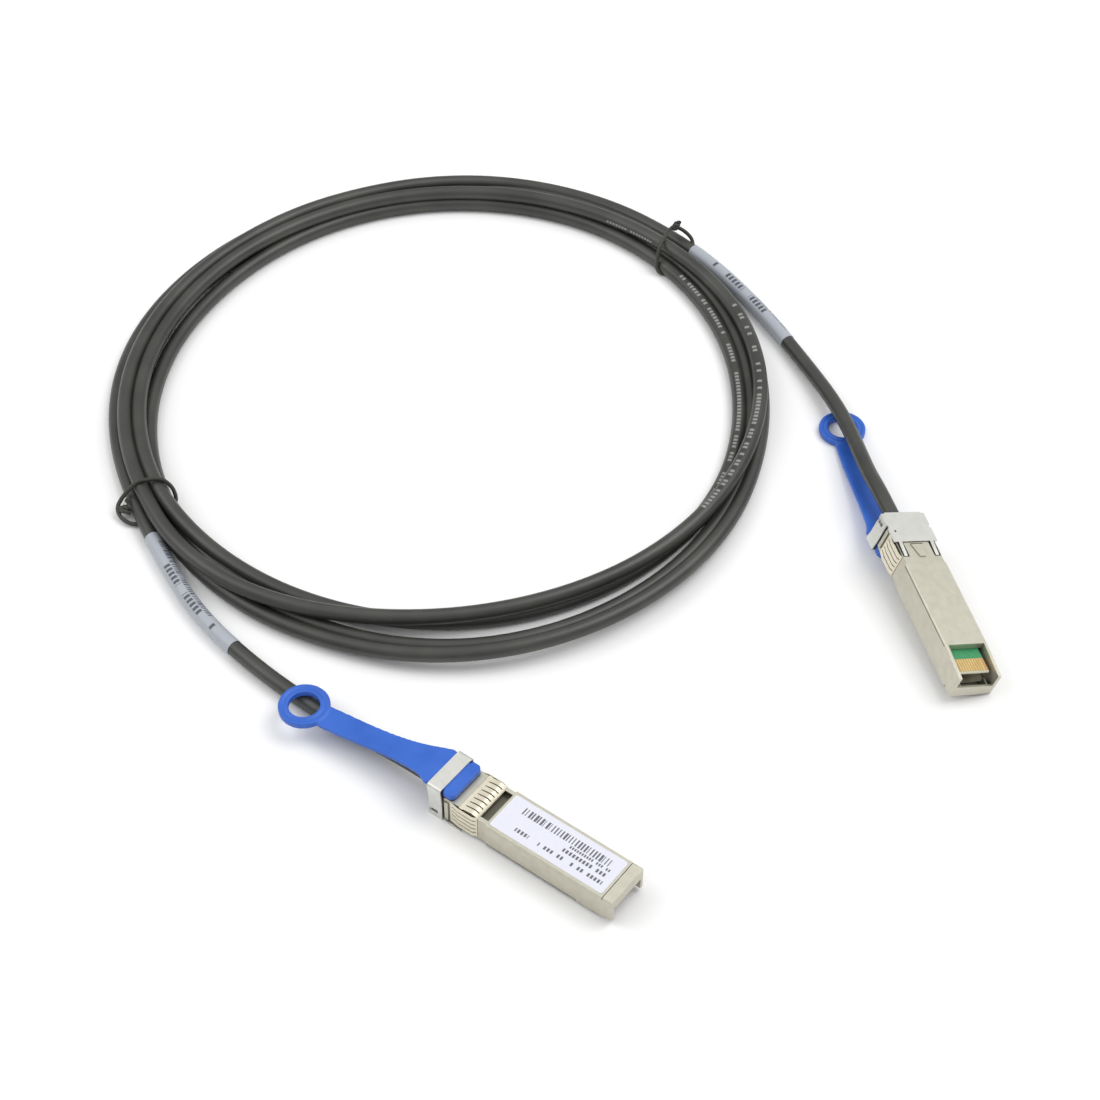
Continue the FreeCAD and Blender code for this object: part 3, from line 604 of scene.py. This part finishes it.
@dataclass(frozen=True)
class CircuitCard:
    """Green solder mask with fine traces, bare laminate round the contacts and a pale edge.

    Lengths are in the plug's own millimetres, a trace's span and edge in shares of its pitch.
    """

    name: str = "card_green"
    mask: Colour = colour(44, 132, 84)
    trace: Colour = colour(66, 158, 104)
    laminate: Colour = colour(190, 150, 96)
    edge: Colour = colour(208, 203, 184)
    contact_start: float = 37.3
    contact_edge: float = 0.05
    edge_start: float = 41.55
    edge_fade: float = 0.1
    trace_pitch: float = 0.8
    trace_span: tuple[float, float] = (0.3, 0.62)
    trace_edge: float = 0.08
    mottle: float = 0.5
    cloud: float = 900.0
    fine: float = 1500.0
    depth: float = 6e-6
    strength: float = 0.2
    roughness: float = 0.34

    def material(self) -> bpy.types.Material:
        """Build the card's material on the card's own flat sheet."""
        shader = Shader(self.name)
        along, across = shader.sheet()
        lane = shader.maths("FRACT", shader.maths("DIVIDE", across, self.trace_pitch * MM))
        mottle = shader.spread(shader.noise(self.cloud, 3.0), 0.0, self.mottle, 0.15)
        track = shader.maths("ADD", shader.within(lane, *self.trace_span, self.trace_edge),
                             mottle, clamp=True)
        green = shader.mix(track, self.mask, self.trace)
        bare = shader.within(along, self.contact_start * MM, self.edge_start * MM,
                             self.contact_edge * MM)
        front = shader.remap(along, self.edge_start * MM,
                             (self.edge_start + self.edge_fade) * MM, 0.0, 1.0)
        face = shader.mix(front, shader.mix(bare, green, self.laminate), self.edge)
        shader.base(Base_Color=face, Roughness=self.roughness)
        shader.bump(shader.noise(self.fine), self.strength, self.depth)
        return shader.material


def wrap_paper(row: PrintRow) -> PrintedPaper:
    """The paper wrapped round the cable: three groups of blocks and a row that differs."""
    blocks = [PrintRow(start, end, 0.0, 1.0, 1.7, gaps=0.0)
              for start, end in ((13.5, 22.5), (26.5, 35.5), (40.6, 42.3))]
    return PrintedPaper("wrap_paper", colour(171, 176, 184), colour(48, 52, 62), (*blocks, row))


class Finish(Enum):
    """Every finish under the name of its slot in the record."""

    # Each plated finish paints shade into its gaps, towards its own shade colour where one is
    # given
    NICKEL_CASTING = PlatedMetal("nickel_casting", colour(206, 203, 188), colour(196, 193, 177),
                                 metallic=0.75, roughness=0.4, fine=7000.0, depth=9e-6)
    SPRING_SHEET = PlatedMetal("spring_sheet", colour(234, 227, 206), colour(222, 214, 192),
                               metallic=0.6, roughness=0.3, painted_shade=colour(78, 72, 52),
                               reach=0.9)
    LATCH_STEEL = PlatedMetal("latch_steel", colour(222, 222, 216), colour(212, 212, 206),
                              metallic=0.7, roughness=0.36, reach=1.4)
    CARD_GREEN = CircuitCard()
    GOLD_PLATE = PlatedMetal("gold_plate", colour(230, 206, 144), colour(214, 186, 120),
                             metallic=0.7, roughness=0.32, painted_shade=colour(150, 110, 58), reach=0.5)
    CHIP_BLACK = MouldedPlastic("chip_black", colour(40, 40, 42), colour(30, 30, 32))
    CORE_JACKET = MouldedPlastic("core_jacket", colour(190, 196, 205), colour(176, 182, 192))
    FERRULE_METAL = PlatedMetal("ferrule_metal", colour(176, 172, 162), colour(160, 156, 146))
    TAB_BLUE = MouldedPlastic("tab_blue", colour(50, 104, 202), colour(42, 94, 190),
                              roughness=0.4)
    LABEL_PAPER = PrintedPaper(
        "label_paper", colour(226, 227, 238), colour(52, 52, 58), (
            PrintRow(10.2, 38.1, 2.85, 1.15, 0.93, PrintKind.BARS),
            PrintRow(26.2, 38.8, 0.9, 0.42, 0.75, seed=11.0),
            PrintRow(25.4, 39.4, -0.85, 0.58, 1.05, seed=23.0),
            PrintRow(19.3, 39.3, -3.25, 0.58, 1.05, seed=37.0),
            PrintRow(11.9, 16.1, -3.1, 0.6, 1.05, gaps=0.0)))
    WRAP_PAPER = wrap_paper(PrintRow(4.0, 38.0, -2.1, 0.8, 0.8, PrintKind.BARS, seed=3.0))
    WRAP_PAPER_SMALL = wrap_paper(PrintRow(3.0, 21.0, 1.9, 0.5, 0.8, seed=3.0))
    CABLE_JACKET = CableJacket()
    TIE_BLACK = MouldedPlastic("tie_black", colour(62, 61, 54), colour(48, 47, 42), roughness=0.5)

    @property
    def slot(self) -> str:
        """The finish's slot in the record."""
        return self.value.name


@lru_cache(maxsize=None)
def material_of(finish: Finish) -> bpy.types.Material:
    """The material of a finish, built once."""
    return finish.value.material()


def finished(piece: Piece, finish: Finish, body: str, nodes: Iterable[str]) -> Piece:
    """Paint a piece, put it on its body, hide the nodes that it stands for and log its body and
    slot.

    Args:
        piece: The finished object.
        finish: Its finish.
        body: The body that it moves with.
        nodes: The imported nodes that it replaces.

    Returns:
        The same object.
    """
    paint(piece, material_of(finish))
    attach(piece, body)
    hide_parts(*nodes)
    LOG.info("%s rides on %s in %s", piece.name, body, finish.slot)
    return piece


# Plug frames


@dataclass(frozen=True)
class PlugSeat:
    """Where a plug's own frame lies: +X to its insertion end, z = 0 on its latch side."""

    tag: str
    origin: Point
    yaw: float = 0.0
    pitch: float = 0.0
    roll: float = 0.0

    @property
    def matrix(self) -> Matrix:
        """The plug frame as a matrix."""
        turn = (Matrix.Rotation(radians(self.yaw), 4, "Z") @ Matrix.Rotation(
            radians(self.pitch), 4, "Y") @ Matrix.Rotation(radians(self.roll), 4, "X"))
        return Matrix.Translation(Vector(self.origin) * MM) @ turn

    def at(self, x: float, y: float, z: float) -> Vector:
        """A point given in the plug's own millimetres, in the model's metres."""
        return self.matrix @ (Vector((x, y, z)) * MM)


SEAT_A = PlugSeat("a", (0.0, 0.0, 0.45))
SEAT_B = PlugSeat("b", (46.2, 139.85, 13.8358), -36.85, 4.95, 164.65)


# The plugs


@dataclass(frozen=True)
class Dressing:
    """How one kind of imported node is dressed.

    Attributes:
        edge: The bevel's width in millimetres; 0 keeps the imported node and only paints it.
        latch: Whether it moves with the latch.
        flat_sheet: Whether its finish is laid out on a flat sheet.
    """

    stem: str
    finish: Finish
    edge: float = 0.0
    latch: bool = False
    flat_sheet: bool = False


@dataclass(frozen=True)
class Hollow:
    """A box in the plug's own millimetres whose walls get painted shade at least as deep as its
    depth; a depth below 0 paints none there.
    """

    low: Point
    high: Point
    depth: float

    def holds(self, place: Vector) -> bool:
        """Whether a place given in the plug's own metres lies in the box."""
        return all(low <= value / MM <= high
                   for low, value, high in zip(self.low, place, self.high))


# Painted shade for the recess ahead of the spring collar and for the inside of the mouth; the last
# box keeps the mouth's rim face free of painted shade
HOLLOWS = (
    Hollow((2.2, -6.0, 6.2), (4.85, 6.0, 8.3), 0.82),
    Hollow((34.1, -5.9, 4.0), (44.5, 5.9, 7.7), 0.6),
    Hollow((33.9, -5.8, -0.1), (34.1, 5.8, 2.2), -1.0))


@dataclass
class Plug:
    """One plug's metal, card and pull tab.

    Attributes:
        flat_angle: Faces within this many degrees of each other are merged before the bevel.
        bevel_angle: Edges sharper than this many degrees are bevelled.
        crease: Metal edges sharper than this many degrees stay crisp.
        tab_voxel: The size of the tab's mesh in millimetres.
    """

    seat: PlugSeat
    dressings: Sequence[Dressing] = (
        Dressing("base_shell", Finish.NICKEL_CASTING, 0.14),
        Dressing("cover_shell", Finish.NICKEL_CASTING, 0.12),
        Dressing("emi_collar", Finish.SPRING_SHEET, 0.04),
        Dressing("latch_bracket", Finish.LATCH_STEEL, 0.1, latch=True),
        Dressing("paddle_card", Finish.CARD_GREEN, 0.04, flat_sheet=True),
        Dressing("gold_contacts", Finish.GOLD_PLATE),
        Dressing("memory_chip", Finish.CHIP_BLACK),
        Dressing("twinax_cores", Finish.CORE_JACKET),
        Dressing("crimp_ferrule", Finish.FERRULE_METAL, 0.08))
    label: Dressing = Dressing("plug_label", Finish.LABEL_PAPER, 0.03, flat_sheet=True)
    flat_angle: float = 1.0
    bevel_angle: float = 28.0
    crease: float = 38.0
    tab_crease: float = 60.0
    tab_voxel: float = 0.24
    tab_passes: int = 5

    def bevelled(self, node: str, edge: float) -> Piece:
        """Copy a node with every sharp edge broken.

        Args:
            node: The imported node.
            edge: The bevel's width in millimetres.

        Returns:
            The copy.
        """
        piece = copy_of(node)
        add_modifier(piece, "DECIMATE", decimate_type="DISSOLVE",
                     angle_limit=radians(self.flat_angle))
        add_modifier(piece, "BEVEL", width=edge * MM, segments=2, limit_method="ANGLE",
                     angle_limit=radians(self.bevel_angle), use_clamp_overlap=True)
        smooth(piece, self.crease)
        add_modifier(piece, "WEIGHTED_NORMAL", keep_sharp=True, weight=100)
        return piece

    def darken(self, piece: Piece) -> None:
        """Note on every corner of a shell how much shade is painted in its hollow."""
        layer = piece.data.attributes.new(GLOOM, "FLOAT", "CORNER")
        back = self.seat.matrix.inverted()
        for face in piece.data.polygons:
            middle = back @ face.center
            depth = next((hollow.depth for hollow in HOLLOWS if hollow.holds(middle)), 0.0)
            for corner in face.loop_indices:
                layer.data[corner].value = depth

    def lay_flat(self, piece: Piece) -> None:
        """Give a flat piece its own sheet: the plug's length and width."""
        back = self.seat.matrix.inverted()
        lay_sheet(piece, [(back @ vertex.co).xy for vertex in piece.data.vertices])

    def moulded(self, node: str) -> Piece:
        """Copy the pull tab with the soft edges of a moulding."""
        piece = copy_of(node)
        add_modifier(piece, "REMESH", mode="VOXEL", voxel_size=self.tab_voxel * MM)
        add_modifier(piece, "SMOOTH", factor=0.5, iterations=self.tab_passes)
        smooth(piece, self.tab_crease)
        return piece

    def build(self) -> None:
        """Dress every piece of the plug; only some plugs carry a printed label."""
        labelled = f"{self.label.stem}_{self.seat.tag}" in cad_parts
        for dressing in (*self.dressings, *([self.label] if labelled else [])):
            node = f"{dressing.stem}_{self.seat.tag}"
            body = f"latch_{self.seat.tag}" if dressing.latch else "cable"
            if not dressing.edge:
                paint(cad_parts[node], material_of(dressing.finish))
                continue
            piece = self.bevelled(node, dressing.edge)
            if dressing.flat_sheet:
                self.lay_flat(piece)
            # The shells get painted shade in their hollows
            if dressing.finish is Finish.NICKEL_CASTING:
                self.darken(piece)
            finished(piece, dressing.finish, body, (node,))
        node = f"pull_tab_{self.seat.tag}"
        finished(self.moulded(node), Finish.TAB_BLUE, f"latch_{self.seat.tag}", (node,))


# The cable


@dataclass(frozen=True)
class Lane:
    """Where one pass of the coil lies at one angle: out from the middle lane and off the floor.

    A lane with no height lies on the floor.
    """

    angle: float
    offset: float
    height: float = 2.35


@dataclass
class Cable:
    """The jacketed cable from plug to plug, with its coil of nearly four and a half turns.

    Lengths are in millimetres and angles in degrees, counted down along the coil.

    Attributes:
        lead_a, lead_b: Control points from each plug to the coil.
        turn: How far the coil's short axis is turned from X.
        short, long: The middle lane's half-width and half-length.
        steps: Control points in the coil.
        passes: The lanes of each time round, from the one that plug A leads to.
    """

    exit_height: float = 4.2
    exit_rear: float = 14.1
    exit_run: float = 12.0
    lead_a: Sequence[Point] = (
        (-42.0, 0.3, 2.7), (-61.0, -0.2, 2.35), (-82.5, 1.0, 2.65), (-106.8, 5.4, 2.65),
        (-130.0, 15.2, 2.65), (-154.5, 28.0, 2.65))
    lead_b: Sequence[Point] = (
        (16.5, 162.0, 9.3), (3.4, 175.4, 5.9), (-9.0, 185.6, 5.1), (-27.0, 197.5, 2.75),
        (-49.5, 209.3, 2.65), (-74.0, 219.3, 2.65))
    centre: tuple[float, float] = (-109.35, 118.98)
    turn: float = 36.55
    short: float = 95.0
    long: float = 99.4
    start: float = 207.0
    end: float = 46.0 - 4 * 360.0
    steps: int = 128
    spline_steps: int = 7
    roundness: int = 5
    passes: Sequence[Sequence[Lane]] = (
        (Lane(207, 4.5), Lane(180, 6), Lane(165, 6), Lane(120, 3), Lane(90, 3), Lane(60, 4.5),
         Lane(25, 4.5), Lane(0, 3), Lane(-15, 3, 2.5), Lane(-45, 7, 5), Lane(-75, 10, 6),
         Lane(-90, 9.5, 5), Lane(-105, 6.5, 3), Lane(-120, 5), Lane(-145, 2)),
        (Lane(207, 0.5), Lane(180, 0.5), Lane(120, -2), Lane(90, -1), Lane(60, 1), Lane(30, 1),
         Lane(0, -0.5), Lane(-45, 3), Lane(-75, 4.5), Lane(-90, 4.5), Lane(-120, 0.5),
         Lane(-145, -2.5)),
        (Lane(207, -3), Lane(180, -5.5), Lane(150, -7.5), Lane(135, -7.5), Lane(90, -5),
         Lane(60, -3), Lane(0, -4), Lane(-30, -3), Lane(-60, -4), Lane(-105, -5.5),
         Lane(-120, -4.5, 3), Lane(-140, -2, 6)),
        (Lane(207, -1.5, 6.5), Lane(180, -2, 6.5), Lane(150, -4, 6.5), Lane(120, -5, 6),
         Lane(90, -4, 6), Lane(60, -1.5, 6.5), Lane(20, 3, 6.5), Lane(0, 2.5, 7),
         Lane(-30, -0.5, 7), Lane(-60, -4, 6.5), Lane(-75, -4.5, 6.5), Lane(-90, -3.5, 6.5),
         Lane(-105, -0.5, 7), Lane(-120, 3.5, 7), Lane(-135, 4.5, 6.5)),
        (Lane(207, 2.5, 6.5), Lane(180, 2.5, 6.5), Lane(135, -0.5, 6.5), Lane(105, -0.5, 6.5),
         Lane(90, 3.5, 5), Lane(75, 7, 3), Lane(60, 8.5), Lane(46, 8.5)))

    def exit_points(self, seat: PlugSeat) -> list[Vector]:
        """A plug's cable exit and the end of the straight run behind it."""
        return [seat.at(-self.exit_rear, 0.0, self.exit_height),
                seat.at(-self.exit_rear - self.exit_run, 0.0, self.exit_height)]

    def lane(self, angle: float) -> tuple[float, float]:
        """The offset and height of the cable at an angle counted down from the start.

        Args:
            angle: Degrees, from the start downwards.

        Returns:
            The offset from the middle lane and the height above the floor, in millimetres.
        """
        keys = [(lane.angle - 360.0 * number, lane.offset, lane.height)
                for number, lanes in enumerate(self.passes) for lane in lanes]
        for (high, offset, height), (low, next_offset, next_height) in zip(keys, keys[1:]):
            if high >= angle >= low:
                share = (high - angle) / (high - low)
                return (offset + (next_offset - offset) * share,
                        height + (next_height - height) * share)
        return keys[-1][1], keys[-1][2]

    def middle(self, angle: float) -> float:
        """How far the middle lane lies from the coil's centre at an angle."""
        return 1 / ((cos(radians(angle)) / self.short) ** 2
                    + (sin(radians(angle)) / self.long) ** 2) ** 0.5

    def coil_point(self, angle: float) -> Vector:
        """A control point of the coil; it stands out by what the spline cuts off inside."""
        offset, height = self.lane(angle)
        step = radians((self.start - self.end) / self.steps)
        reach = (self.middle(angle) + offset) * 4 / (3 + cos(step))
        heading = radians(angle + self.turn)
        return Vector((self.centre[0] + reach * cos(heading),
                       self.centre[1] + reach * sin(heading), height)) * MM

    def route(self) -> list[Vector]:
        """Every control point from plug A to plug B."""
        step = (self.start - self.end) / self.steps
        points = self.exit_points(SEAT_A) + [Vector(point) * MM for point in self.lead_a]
        points += [self.coil_point(self.start - step * number)
                   for number in range(1, self.steps + 1)]
        points += [Vector(point) * MM for point in reversed(self.lead_b)]
        return points + list(reversed(self.exit_points(SEAT_B)))

    def build(self) -> Piece:
        """Make the cable as one open spline with a round section.

        Returns:
            The curve object.
        """
        return put_in_scene("cable", round_wire(
            "cable", self.route(), CABLE_DIAMETER / 2, self.spline_steps, self.roundness))

    @staticmethod
    def centreline(piece: Piece) -> list[Vector]:
        """Points along a cable's spline, read with no bevel on it.

        Args:
            piece: The curve object.

        Returns:
            The points in order.
        """
        bare = piece.copy()
        bare.data = piece.data.copy()
        bare.data.bevel_depth = 0.0
        mesh = bpy.data.meshes.new_from_object(bare)
        points = [vertex.co.copy() for vertex in mesh.vertices]
        bpy.data.meshes.remove(mesh)
        bpy.data.objects.remove(bare)
        return points


@dataclass
class WrapLabel:
    """A paper label wrapped round the cable, with its lap standing proud by its own thickness.

    Attributes:
        start: Where its print begins, seen from above, in millimetres.
        end: Where its print ends.
        print_angle: How far the print's middle is turned from the top, in degrees.
        wall: How far the outer end of the sheet stands off the cable, in millimetres.
        lap: The share of that at the inner end of the sheet.
        bore: The share of the cable's radius at which the inner wall lies.
        free_share: The share of the cable at each end in which a label is looked for.
        bare: A place on the sheet, in metres, that no print reaches.
    """

    tag: str
    start: tuple[float, float]
    end: tuple[float, float]
    print_angle: float
    finish: Finish
    wall: float = 0.16
    lap: float = 0.35
    bore: float = 0.985
    sides: int = 40
    crease: float = 30.0
    free_share: float = 1 / 12
    bare: float = 1.0

    def stretch(self, line: Sequence[Vector]) -> list[Vector]:
        """The cable's centreline from end to end of the label, looked for off the coil."""
        margin = len(line) * self.free_share
        free = [number for number in range(len(line))
                if number <= margin or len(line) - number <= margin]
        near = [min(free, key=lambda number, spot=spot: (
            line[number].xy - Vector(spot) * MM).length) for spot in (self.start, self.end)]
        low, high = sorted(near)
        run = list(line[low:high + 1])
        return run if near[0] < near[1] else run[::-1]

    def rings(self, run: Sequence[Vector]) -> tuple[list[Vector], list[tuple[float, float]]]:
        """Corners round each point of a run: those of the outer wall, then of the inner one.

        Args:
            run: Points along the cable's centreline.

        Returns:
            The corners, and the place of each on the label's flat sheet, in metres.
        """
        radius = CABLE_DIAMETER / 2
        points, sheet = [], []
        travelled = 0.0
        for number, point in enumerate(run):
            ahead = run[min(number + 1, len(run) - 1)] - run[max(number - 1, 0)]
            ahead.normalize()
            side = ahead.cross(Vector((0, 0, 1))).normalized()
            top = side.cross(ahead)
            travelled += (point - run[number - 1]).length if number else 0.0
            for outer in (True, False):
                for step in range(self.sides):
                    turn = tau * step / (self.sides - 1)
                    angle = turn - pi + radians(self.print_angle)
                    lift = self.wall * MM * (self.lap + (1 - self.lap) * turn / tau)
                    reach = radius + lift if outer else radius * self.bore
                    points.append(point + (top * cos(angle) + side * sin(angle)) * reach)
                    sheet.append((travelled, (turn - pi) * reach if outer else self.bare))
        return points, sheet

    def walls(self, count: int) -> list[tuple[int, ...]]:
        """The faces between so many rings: both walls, the step at the lap and both rims."""
        ring = 2 * self.sides
        faces = []
        for base in range(0, (count - 1) * ring, ring):
            for step in range(ring):
                if (step + 1) % self.sides == 0:
                    continue
                corners = (base + step, base + step + 1, base + ring + step + 1,
                           base + ring + step)
                faces.append(corners if step < self.sides else corners[::-1])
            faces.append((base + self.sides - 1, base, base + ring, base + ring + self.sides - 1))
        for base, flip in ((0, True), ((count - 1) * ring, False)):
            for step in range(base, base + self.sides - 1):
                corners = (step, step + 1, self.sides + step + 1, self.sides + step)
                faces.append(corners[::-1] if flip else corners)
        return faces

    def build(self, line: Sequence[Vector]) -> Piece:
        """Wrap the label round the cable.

        Args:
            line: Points along the cable's centreline.

        Returns:
            The label.
        """
        run = self.stretch(line)
        points, sheet = self.rings(run)
        piece = mesh_object(f"wrap_label_{self.tag}_dressed", points, self.walls(len(run)))
        lay_sheet(piece, sheet)
        recalculate_normals(piece)
        smooth(piece, self.crease)
        return piece


@dataclass
class WireTie:
    """A plastic-covered wire closed round the bundle and twisted shut.

    Points are given across the bundle, along it and upwards from the middle lane of the coil at
    the tie's angle, in millimetres.

    Attributes:
        wire: The wire's radius.
        turns: Turns in the twist.
        twist_steps: Points in each turn of the twist.
        twist_reach: How far each strand lies from the twist's middle.
    """

    side: str
    angle: float
    loop: Sequence[Point]
    twist: tuple[Point, Point]
    tails: Sequence[Sequence[Point]]
    wire: float = 0.62
    turns: float = 1.5
    twist_steps: int = 10
    twist_reach: float = 0.6
    spline_steps: int = 8
    roundness: int = 4
    crease: float = 50.0

    def place(self, cable: Cable, point: Point) -> Vector:
        """A point of the tie in the model's metres."""
        across, along, up = point
        heading = radians(self.angle + cable.turn)
        outward = Vector((cos(heading), sin(heading), 0))
        onward = Vector((-sin(heading), cos(heading), 0))
        out = cable.middle(self.angle) + across
        hub = Vector((*cable.centre, 0)) + outward * out + onward * along
        return (hub + Vector((0, 0, up))) * MM

    def strand(self, name: str, points: Sequence[Vector], closed: bool = False) -> Piece:
        """One length of wire through the given points, as a mesh."""
        data = round_wire(name, points, self.wire * MM, self.spline_steps, self.roundness, closed)
        curve = bpy.data.objects.new(name, data)
        mesh = bpy.data.meshes.new_from_object(curve)
        bpy.data.objects.remove(curve)
        return put_in_scene(name, mesh)

    def build(self, cable: Cable) -> Piece:
        """Make the loop, the twist and the two cut tails."""
        parts = [self.strand("tie_loop", [self.place(cable, point) for point in self.loop], True)]
        start, end = (self.place(cable, point) for point in self.twist)
        axis = (end - start).normalized()
        side = axis.orthogonal().normalized()
        other = axis.cross(side)
        last = int(self.turns * self.twist_steps)
        for phase in (0.0, pi):
            coil = []
            for step in range(last + 1):
                turn = phase + tau * step / self.twist_steps
                coil.append(start.lerp(end, step / last)
                            + (side * cos(turn) + other * sin(turn)) * self.twist_reach * MM)
            parts.append(self.strand("tie_twist", coil))
        for tail in self.tails:
            parts.append(self.strand("tie_tail", [self.place(cable, point) for point in tail]))
        piece = join(f"tie_{self.side}_dressed", parts)
        recalculate_normals(piece)
        smooth(piece, self.crease)
        return piece


TIE_LEFT = WireTie(
    "left", 207.0,
    loop=((-6.1, 5.0, 2.2), (-5.4, 4.6, 6.2), (-2.8, 3.4, 9.6), (0.0, 2.4, 9.4), (3.6, 1.4, 9.4),
          (6.2, 0.9, 7.0), (9.0, 1.0, 4.4), (11.2, 2.2, 2.6), (11.6, 5.2, 1.6), (10.0, 9.0, 1.2),
          (6.5, 10.6, 0.9), (0.0, 8.5, 0.7), (-5.4, 6.4, 0.8)),
    twist=((10.6, 3.4, 2.4), (7.3, 4.6, 3.2)),
    tails=(((10.4, 3.0, 2.2), (10.9, 4.4, 3.0), (9.6, 5.6, 3.1), (8.4, 6.0, 2.2)),
           ((7.6, 4.4, 3.2), (7.7, 3.3, 4.2), (8.4, 2.9, 5.0))))
TIE_RIGHT = WireTie(
    "right", 46.0,
    loop=((-6.6, -6.0, 2.2), (-5.8, -5.4, 6.2), (-3.4, -4.2, 9.6), (0.0, -2.8, 9.4),
          (3.8, -1.2, 9.4), (6.2, -0.4, 8.5), (7.8, 0.0, 8.3), (9.0, -1.6, 7.9),
          (10.2, -4.0, 6.5), (10.6, -6.6, 4.5), (8.0, -8.6, 2.0), (5.0, -9.0, 0.8),
          (0.0, -8.2, 0.7), (-5.8, -6.8, 0.8)),
    twist=((7.2, -0.8, 8.0), (8.4, -1.1, 9.6)),
    tails=(((-6.5, -6.2, 2.2), (-6.8, -7.4, 1.1), (-5.4, -8.0, 0.7)),
           ((8.2, -0.8, 9.3), (9.1, -1.0, 10.2), (8.7, -1.9, 10.4))))


# Studio


@dataclass(frozen=True)
class Lamp:
    """A square soft lamp: place and size in metres, power in watts."""

    name: str
    place: Point
    size: float
    power: float


@dataclass
class Studio:
    """Pale floor, soft light and the camera.

    Attributes:
        floor_drop: How far the floor lies below the model's own, in metres.
        sky_band: The heights between which the surround brightens, from 0 level to 1 overhead.
        sky_strength: Its strength below and above that band.
    """

    camera_place: Point = (0.2201, -0.2700, 0.4730)
    aim: Point = (-0.0447, 0.0872, 0.0)
    roll: float = 0.008
    lens: float = 73.1
    sensor: float = 36.0
    nearest: float = 0.01
    floor_size: float = 6.0
    floor_drop: float = 0.00005
    floor_shade: float = 0.93
    sky_band: tuple[float, float] = (0.45, 0.85)
    sky_strength: tuple[float, float] = (0.5, 0.95)
    lamps: Sequence[Lamp] = (Lamp("key", (0.45, 0.7, 1.3), 1.0, 9.0),
                             Lamp("fill", (-0.9, -0.4, 0.9), 0.9, 4.0))

    def white(self, name: str, shade: float) -> bpy.types.Material:
        """A matt white with no gloss."""
        shader = Shader(name)
        shader.base(Base_Color=(shade, shade, shade, 1.0), Roughness=0.9,
                    Specular_IOR_Level=0.0)
        return shader.material

    def floor(self) -> None:
        """Lay the floor."""
        bpy.ops.mesh.primitive_plane_add(size=self.floor_size, location=(0, 0, -self.floor_drop))
        plane = apply_place(bpy.context.active_object)
        plane.name = "floor"
        paint(plane, self.white("floor_white", self.floor_shade))

    def facing(self, place: Point) -> Matrix:
        """The turn that makes a lamp or camera at a place face the aim."""
        return (Vector(self.aim) - Vector(place)).to_track_quat("-Z", "Y").to_matrix()

    def hang(self, lamp: Lamp) -> None:
        """Hang a lamp that faces the plugs."""
        data = bpy.data.lights.new(lamp.name, "AREA")
        data.size = lamp.size
        data.energy = lamp.power
        light = put_in_scene(lamp.name, data)
        light.location = lamp.place
        light.rotation_euler = self.facing(lamp.place).to_euler()

    def world(self) -> None:
        """Surround everything with white that is bright overhead and dimmer near the horizon."""
        world = bpy.data.worlds.new("surround")
        bpy.context.scene.world = world
        world.use_nodes = True
        nodes, links = world.node_tree.nodes, world.node_tree.links
        background = nodes["Background"]
        split = nodes.new("ShaderNodeSeparateXYZ")
        links.new(nodes.new("ShaderNodeTexCoord").outputs["Generated"], split.inputs[0])
        ramp = nodes.new("ShaderNodeMapRange")
        ramp.interpolation_type = "SMOOTHSTEP"
        links.new(split.outputs["Z"], ramp.inputs[0])
        for slot, value in zip(list(ramp.inputs)[1:5], (*self.sky_band, *self.sky_strength)):
            slot.default_value = value
        background.inputs["Color"].default_value = (1.0, 1.0, 1.0, 1.0)
        links.new(ramp.outputs[0], background.inputs["Strength"])

    def camera(self) -> None:
        """Set the camera at the viewing angle."""
        data = bpy.data.cameras.new("camera")
        data.lens = self.lens
        data.sensor_width = self.sensor
        data.clip_start = self.nearest
        camera = put_in_scene("camera", data)
        camera.location = self.camera_place
        look = self.facing(self.camera_place)
        camera.rotation_euler = (look @ Matrix.Rotation(self.roll, 3, "Z")).to_euler()
        bpy.context.scene.camera = camera

    def build(self) -> None:
        """Set up floor, lamps, surround and camera."""
        self.floor()
        self.world()
        for lamp in self.lamps:
            self.hang(lamp)
        self.camera()
        bpy.context.scene.view_settings.view_transform = "Standard"


def build_cable() -> None:
    """Make the cable with what goes on it: wrapped labels and ties."""
    cable = Cable()
    piece = finished(cable.build(), Finish.CABLE_JACKET, "cable", ("coil", "lead_a", "lead_b"))
    line = cable.centreline(piece)
    for label in (WrapLabel("a", (-139.3, 20.0), (-92.3, 2.3), 20.0, Finish.WRAP_PAPER),
                  WrapLabel("b", (-36.6, 202.5), (-87.0, 221.6), -10.0,
                            Finish.WRAP_PAPER_SMALL)):
        finished(label.build(line), label.finish, "cable",
                                 (f"wrap_label_{label.tag}",))
    for tie in (TIE_LEFT, TIE_RIGHT):
        finished(tie.build(cable), Finish.TIE_BLACK, "cable",
                                 (f"tie_{tie.side}",))


def main() -> None:
    """Build the scene's pieces in order."""
    logging.basicConfig(level=logging.INFO, format="%(name)s: %(message)s")
    Studio().build()
    for seat in (SEAT_A, SEAT_B):
        Plug(seat).build()
    build_cable()


if __name__ == "__main__":
    main()
